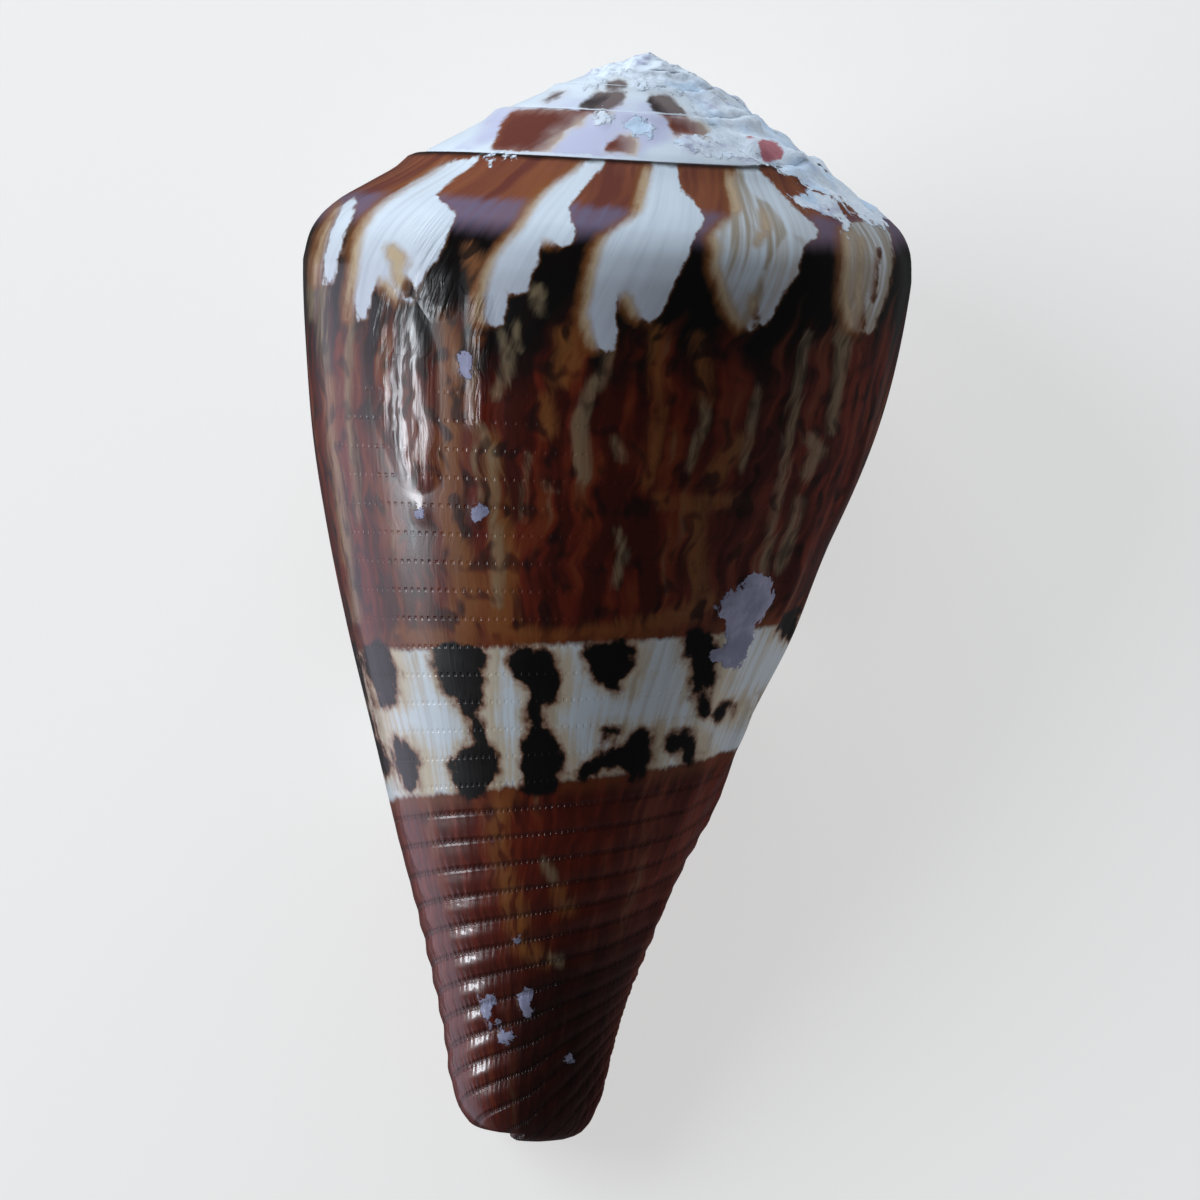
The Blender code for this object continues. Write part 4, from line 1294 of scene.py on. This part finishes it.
def shell_paint(colours):
    """Material of the shell: markings from the stored depths with painted shade and sheen, crust, gloss and
    fine bump.
    """
    paint = Paint("cone_shell_surface")
    marks = {name: paint.stored(name) for name in MARK_NAMES}
    growth = Growth(paint, marks["turn"], marks["line"], marks["row"])
    place = paint.add("ShaderNodeTexCoord", "Object")
    broad = paint.grain(place, BROAD_NOISE, 2.0)
    ragged = paint.grain(place, RAGGED_NOISE, 4.0, 0.65) - 0.5
    crust_grain = paint.grain(place, CRUST_NOISE, 3.0, 0.6)
    pores = paint.grain(place, PORE_NOISE, 3.0, 0.7)

    white = pale_colour(paint, colours, growth, marks)
    surface = brown_colour(paint, colours, growth, marks)
    surface = with_flames(paint, colours, growth, marks, ragged, surface, white)
    surface = with_band(paint, colours, growth, marks, ragged, surface, white)
    # Painted shadow: a black line just below each suture, where the ledge of the whorl above would shade it
    seam = 1.0 - (marks["row"] + ragged * 0.05).rise(*SUTURE_SHADOW_ROWS)
    surface = paint.blend(seam * 0.9, surface, colours.black_brown)
    spire = spire_colour(paint, colours, growth, marks, broad, ragged)
    surface = paint.blend(marks["spire"], surface, spire)

    flake_cover = (marks["flake"] + ragged * 1.6).rise(0.0, 0.08)
    flake = paint.blend(crust_grain.rise(0.35, 0.65), colours.lilac, colours.lilac_grey)
    surface = paint.blend(flake_cover, surface, flake)
    crust = paint.blend(crust_grain.rise(0.56, 0.7) * 0.7, colours.chalk, colours.lilac)
    bluish = paint.grain(place, BLUISH_NOISE, 2.0).rise(0.5, 0.68)
    crust = paint.blend(bluish * 0.8, crust, colours.pale_cyan)
    crust = paint.blend(pores.rise(0.62, 0.76) * 0.5, crust, colours.spire_grey)
    crust_cover = (marks["crust"] + ragged * 1.8).rise(-0.05, 0.12)
    surface = paint.blend(crust_cover, surface, crust)
    red_cover = (marks["red"] + ragged * 0.5).rise(-0.05, 0.1)
    surface = paint.blend(red_cover * 0.85, surface, colours.coral_red)
    deeper = (marks["line"] * 0.5 + growth.streak).rise(8.0, 40.0)
    lining = paint.blend(deeper, colours.lining, colours.lilac_white)
    surface = paint.blend(marks["inner"].rise(0.55, 0.95), surface, lining)

    dull = crust_cover.at_least(flake_cover * 0.7)
    low = marks["line"].rise(BAND_BOTTOM, BAND_BOTTOM + 2.0)
    roughness = ROUGHNESS + paint.grain(place, SATIN_NOISE, 3.0, 0.7) * SATIN_ROUGHNESS
    roughness = roughness + dull * DULL_ROUGHNESS + marks["spire"] * SPIRE_ROUGHNESS
    pits = growth.pit_row * (marks["turn"] * (2.0 * math.pi * BEADS_PER_TURN)).maths("SINE").rise(0.0, 0.7)
    pits = pits * marks["line"].rise(*PIT_LINES) * (0.35 + low * 0.65) * (1.0 - marks["spire"])
    wrinkled = marks["wrinkled"].rise(-0.6, 0.5)
    worn = wrinkled * (growth.calm * 0.5 + growth.fine * 0.5 + (growth.dash - 0.5) * 0.3).rise(0.47, 0.55)
    roughness = roughness + worn * WORN_ROUGHNESS
    height = growth.hair * (0.1 + wrinkled * 0.3) + growth.fine * (0.12 + wrinkled * 1.2)
    height = height + growth.calm * wrinkled * 3.0 - pits * 0.7
    height = height - growth.groove * low * 0.5 + crust_cover * (crust_grain * 2.0 + pores * 1.6)
    height = height + flake_cover * (0.6 + pores * 0.5)
    lift = {"Strength": BUMP_STRENGTH, "Distance": BUMP_DISTANCE, "Height": height}
    bump = paint.add("ShaderNodeBump", "Normal", feeds=lift)
    coat = (1.0 - dull) * (1.0 - marks["spire"] * 0.6) * (1.0 - worn * 0.85) * COAT
    gloss = {"Coat_Weight": coat, "Coat_Roughness": COAT_ROUGHNESS, "Specular_IOR_Level": SPECULAR}
    return paint.finish(Base_Color=surface, Roughness=roughness, Normal=bump, **gloss)


def floor_paint(colour, glow):
    """Plain pale floor, a little lit from within so that it stays brighter than the shell."""
    paint = Paint("pale_floor")
    light = {"Emission_Color": (1.0, 1.0, 1.0), "Emission_Strength": glow}
    return paint.finish(Base_Color=tuple(colour), Roughness=0.9, **light)


def amount_field(label, use, amount, **limits):
    """Setting that is a power, a strength or a size, and never below zero."""
    return FloatProperty(name=label, description=use, default=amount, min=0.0, **limits)


def colour_field(label, use, red, green, blue):
    """Colour setting, given as it looks on a screen."""
    linear = tuple(((part / 255.0 + 0.055) / 1.055) ** 2.4 for part in (red, green, blue))
    return FloatVectorProperty(
        name=label, description=use, subtype="COLOR", size=3, min=0.0, max=1.0, default=linear)


class ConeShellSizes(bpy.types.PropertyGroup):
    """Sizes of the shell's mesh and of its studio."""

    columns: IntProperty(
        name="Columns a whorl", description="Mesh columns round one whorl", default=276, min=90, max=300)
    merge_gap: FloatProperty(
        name="Merge gap", description="Points nearer than this are merged", default=0.000002,
        unit="LENGTH", precision=7)
    floor_size: amount_field("Floor", "Width of the floor", 4.0, unit="LENGTH")
    floor_glow: amount_field("Floor glow", "Light that the floor gives off", 0.6)
    window_power: amount_field("Window", "Power of the window light in watts", 0.7)
    sky_power: amount_field("Sky", "Power of the large soft light in watts", 1.6)
    sheen_power: amount_field("Sheen", "Power of the low light for the gloss in watts", 0.42)
    top_power: amount_field("Apex side", "Power of the light past the apex in watts", 1.0)
    world_power: amount_field("Surroundings", "Strength of the light all round", 0.05)


class ConeShellColours(bpy.types.PropertyGroup):
    """Colours of the shell's markings, crust and floor, and of the sheen and shade painted onto the shell."""

    dark_brown: colour_field("Dark brown", "Streaks of the body", 68, 17, 7)
    red_brown: colour_field("Red brown", "Body", 116, 36, 17)
    golden_brown: colour_field("Golden brown", "Lighter streaks", 128, 64, 27)
    ramp_brown: colour_field("Ramp brown", "Blotches above the shoulder", 112, 58, 48)
    warm_brown: colour_field("Warm brown", "Warmer part of those blotches", 142, 82, 54)
    # Black brown also serves as the painted shadow below the sutures and the painted shade in the grooves
    black_brown: colour_field("Black brown", "Darkest marks", 12, 7, 7)
    # The shoulder's mauve colour is a painted sheen over its rounding, not a colour of the shell
    shoulder_sheen: colour_field("Shoulder mauve", "Bloom on the shoulder", 116, 106, 132)
    ochre: colour_field("Ochre", "Warm edges and streaks", 144, 88, 44)
    beige: colour_field("Beige", "Wavy streaks", 158, 138, 108)
    cream: colour_field("Cream", "Soft edges of the white", 214, 192, 158)
    white: colour_field("White", "Flames and band", 226, 236, 246)
    grey_white: colour_field("Grey white", "Streaks in the white", 172, 178, 196)
    lilac_white: colour_field("Lilac white", "Worn spire", 204, 206, 232)
    lilac: colour_field("Lilac", "Flakes", 172, 172, 204)
    lilac_grey: colour_field("Lilac grey", "Darker crust", 140, 142, 172)
    chalk: colour_field("Chalk", "Crust", 230, 239, 250)
    pale_cyan: colour_field("Pale cyan", "Bluish crust", 198, 222, 246)
    spire_grey: colour_field("Spire grey brown", "Worn blotches and pits", 66, 58, 58)
    coral_red: colour_field("Coral red", "Spot in the crust", 182, 76, 84)
    lining: colour_field("Aperture lining", "Inner wall", 222, 220, 226)
    floor: colour_field("Floor", "Floor", 170, 168, 165)


def join_patches(pieces):
    """Join the patches, merge their shared edges and turn the surface outwards."""
    bpy.ops.object.select_all(action="DESELECT")
    for piece in pieces:
        piece.select_set(True)
    bpy.context.view_layer.objects.active = pieces[0]
    bpy.ops.object.join()
    shell = bpy.context.active_object
    bpy.ops.object.mode_set(mode="EDIT")
    bpy.ops.mesh.select_all(action="SELECT")
    bpy.ops.mesh.remove_doubles(threshold=bpy.context.scene.cone_shell_sizes.merge_gap)
    bpy.ops.mesh.dissolve_degenerate(threshold=1e-7)
    bpy.ops.mesh.normals_make_consistent(inside=False)
    bpy.ops.object.mode_set(mode="OBJECT")
    bpy.ops.object.shade_smooth()
    return shell


def keep_in_box(shell):
    """Hold the finer surface inside the solid model's box."""
    low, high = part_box("cone_shell")
    data = shell.data
    places = np.empty(len(data.vertices) * 3)
    data.vertices.foreach_get("co", places)
    places = np.clip(places.reshape(-1, 3), np.array(low), np.array(high))
    data.vertices.foreach_set("co", places.reshape(-1))
    data.update()


class OBJECT_OT_cone_shell(bpy.types.Operator):
    """Build the cone shell with its markings"""

    bl_idname = "object.cone_shell_add"
    bl_label = "Cone shell"

    def execute(self, context):
        """Build every patch, join them and put the shell in the frame."""
        patches = build_patches(context.scene.cone_shell_sizes.columns)
        pieces = [add_patch(number, patch) for number, patch in enumerate(patches)]
        shell = join_patches(pieces)
        shell.name = "cone_shell_surface"
        keep_in_box(shell)
        shell.data.materials.clear()
        shell.data.materials.append(shell_paint(context.scene.cone_shell_colours))
        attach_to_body(shell, "root")
        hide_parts("cone_shell")
        return {"FINISHED"}


# Lights in metres: name, place, size, colour, and whether only the gloss or the diffuse light has them
LIGHT_AIM = (0.0, 0.0, 0.012)
LIGHTS = (
    ("window_light", (-0.30, -0.115, 0.08), (0.07, 0.09), (0.88, 0.94, 1.0), "gloss"),
    ("sky_light", (-0.36, 0.08, 0.26), (0.30, 0.36), (0.88, 0.94, 1.0), "diffuse"),
    ("sheen_light", (-0.40, -0.16, -0.21), (0.44, 0.31), (0.86, 0.82, 1.0), "gloss"),
    ("apex_light", (-0.05, 0.42, 0.14), (0.36, 0.16), (0.78, 0.89, 1.0), "diffuse"),
)
WORLD_COLOUR = (0.94, 0.97, 1.0, 1.0)


def shell_direction(right, front, up):
    """Direction in the lying frame of one given on the upright shell."""
    roll, pitch = math.radians(LIE_ROLL), math.radians(LIE_PITCH)
    across = right * math.cos(roll) + front * math.sin(roll)
    upward = front * math.cos(roll) - right * math.sin(roll)
    forward = up * math.cos(pitch) - upward * math.sin(pitch)
    return Vector((across, forward, up * math.sin(pitch) + upward * math.cos(pitch)))


def add_camera():
    """Camera at the photograph's angle: square to the shell's front, rolled like the shell."""
    tilt, roll = math.radians(VIEW_TILT), math.radians(VIEW_ROLL)
    backward = shell_direction(0.0, math.cos(tilt), math.sin(tilt))
    upward = shell_direction(0.0, -math.sin(tilt), math.cos(tilt))
    rightward = upward.cross(backward)
    up = upward * math.cos(roll) - rightward * math.sin(roll)
    right = rightward * math.cos(roll) + upward * math.sin(roll)
    pivot = Vector(LIE_SHIFT) + shell_direction(0.0, 0.0, -1.0) * PIVOT_HEIGHT
    place = (pivot + backward * VIEW_DISTANCE) * MM
    bpy.ops.object.camera_add(location=place)
    camera = bpy.context.active_object
    camera.name = "photo_camera"
    turned = Matrix((right, up, backward)).transposed().to_4x4()
    camera.matrix_world = Matrix.Translation(place) @ turned
    camera.data.angle = 2.0 * math.atan(0.5 * PHOTO_WIDTH / VIEW_SCALE / VIEW_DISTANCE)
    camera.data.shift_x = 0.5 - PIVOT_PIXEL[0] / PHOTO_WIDTH
    camera.data.shift_y = PIVOT_PIXEL[1] / PHOTO_WIDTH - 0.5
    camera.data.clip_start = 0.01
    bpy.context.scene.camera = camera


def add_light(name, place, size, colour, only, power):
    """Soft rectangular light that faces the shell, either only seen in the gloss or only felt."""
    bpy.ops.object.light_add(type="AREA", location=place)
    light = bpy.context.active_object
    light.name = name
    light.data.shape = "RECTANGLE"
    light.data.size, light.data.size_y = size
    light.data.energy = power
    light.data.color = colour
    light.rotation_euler = (Vector(LIGHT_AIM) - Vector(place)).to_track_quat("-Z", "Y").to_euler()
    light.visible_diffuse = only != "gloss"
    light.visible_glossy = only != "diffuse"


class SCENE_OT_cone_shell_studio(bpy.types.Operator):
    """Add the pale floor, the soft lights and the camera"""

    bl_idname = "scene.cone_shell_studio"
    bl_label = "Studio"

    def execute(self, context):
        """Set up everything round the shell."""
        sizes = context.scene.cone_shell_sizes
        bpy.ops.object.select_all(action="DESELECT")
        bpy.ops.mesh.primitive_plane_add(size=sizes.floor_size, location=(0.0, 0.0, 0.0))
        floor = context.active_object
        floor.name = "studio_floor"
        colours = context.scene.cone_shell_colours
        floor.data.materials.append(floor_paint(colours.floor, sizes.floor_glow))
        floor.visible_glossy = False
        floor.visible_shadow = False
        powers = (sizes.window_power, sizes.sky_power, sizes.sheen_power, sizes.top_power)
        for light, power in zip(LIGHTS, powers):
            add_light(*light, power)
        world = bpy.data.worlds.new("studio_world")
        world.use_nodes = True
        backdrop = world.node_tree.nodes["Background"]
        backdrop.inputs["Color"].default_value = WORLD_COLOUR
        backdrop.inputs["Strength"].default_value = sizes.world_power
        context.scene.world = world
        context.scene.view_settings.view_transform = "Standard"
        add_camera()
        return {"FINISHED"}


class VIEW3D_PT_cone_shell(bpy.types.Panel):
    """Settings and buttons of the cone shell"""

    bl_label = "Cone shell"
    bl_idname = "VIEW3D_PT_cone_shell"
    bl_space_type = "VIEW_3D"
    bl_region_type = "UI"
    bl_category = "Shell"

    def draw(self, context):
        """Show the sizes, the colours and the two buttons."""
        for group in (context.scene.cone_shell_sizes, context.scene.cone_shell_colours):
            for name in group.__annotations__:
                self.layout.prop(group, name)
        self.layout.operator(OBJECT_OT_cone_shell.bl_idname)
        self.layout.operator(SCENE_OT_cone_shell_studio.bl_idname)


CLASSES = (
    ConeShellSizes, ConeShellColours, OBJECT_OT_cone_shell, SCENE_OT_cone_shell_studio, VIEW3D_PT_cone_shell,
)


def register():
    """Make the settings, operators and panel known to Blender."""
    for item in CLASSES:
        bpy.utils.register_class(item)
    bpy.types.Scene.cone_shell_sizes = PointerProperty(type=ConeShellSizes)
    bpy.types.Scene.cone_shell_colours = PointerProperty(type=ConeShellColours)


def unregister():
    """Take them away again."""
    del bpy.types.Scene.cone_shell_colours
    del bpy.types.Scene.cone_shell_sizes
    for item in reversed(CLASSES):
        bpy.utils.unregister_class(item)


def main():
    """Build the shell and its studio."""
    register()
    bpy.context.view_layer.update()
    bpy.ops.object.cone_shell_add()
    bpy.ops.scene.cone_shell_studio()


if __name__ == "__main__":
    main()
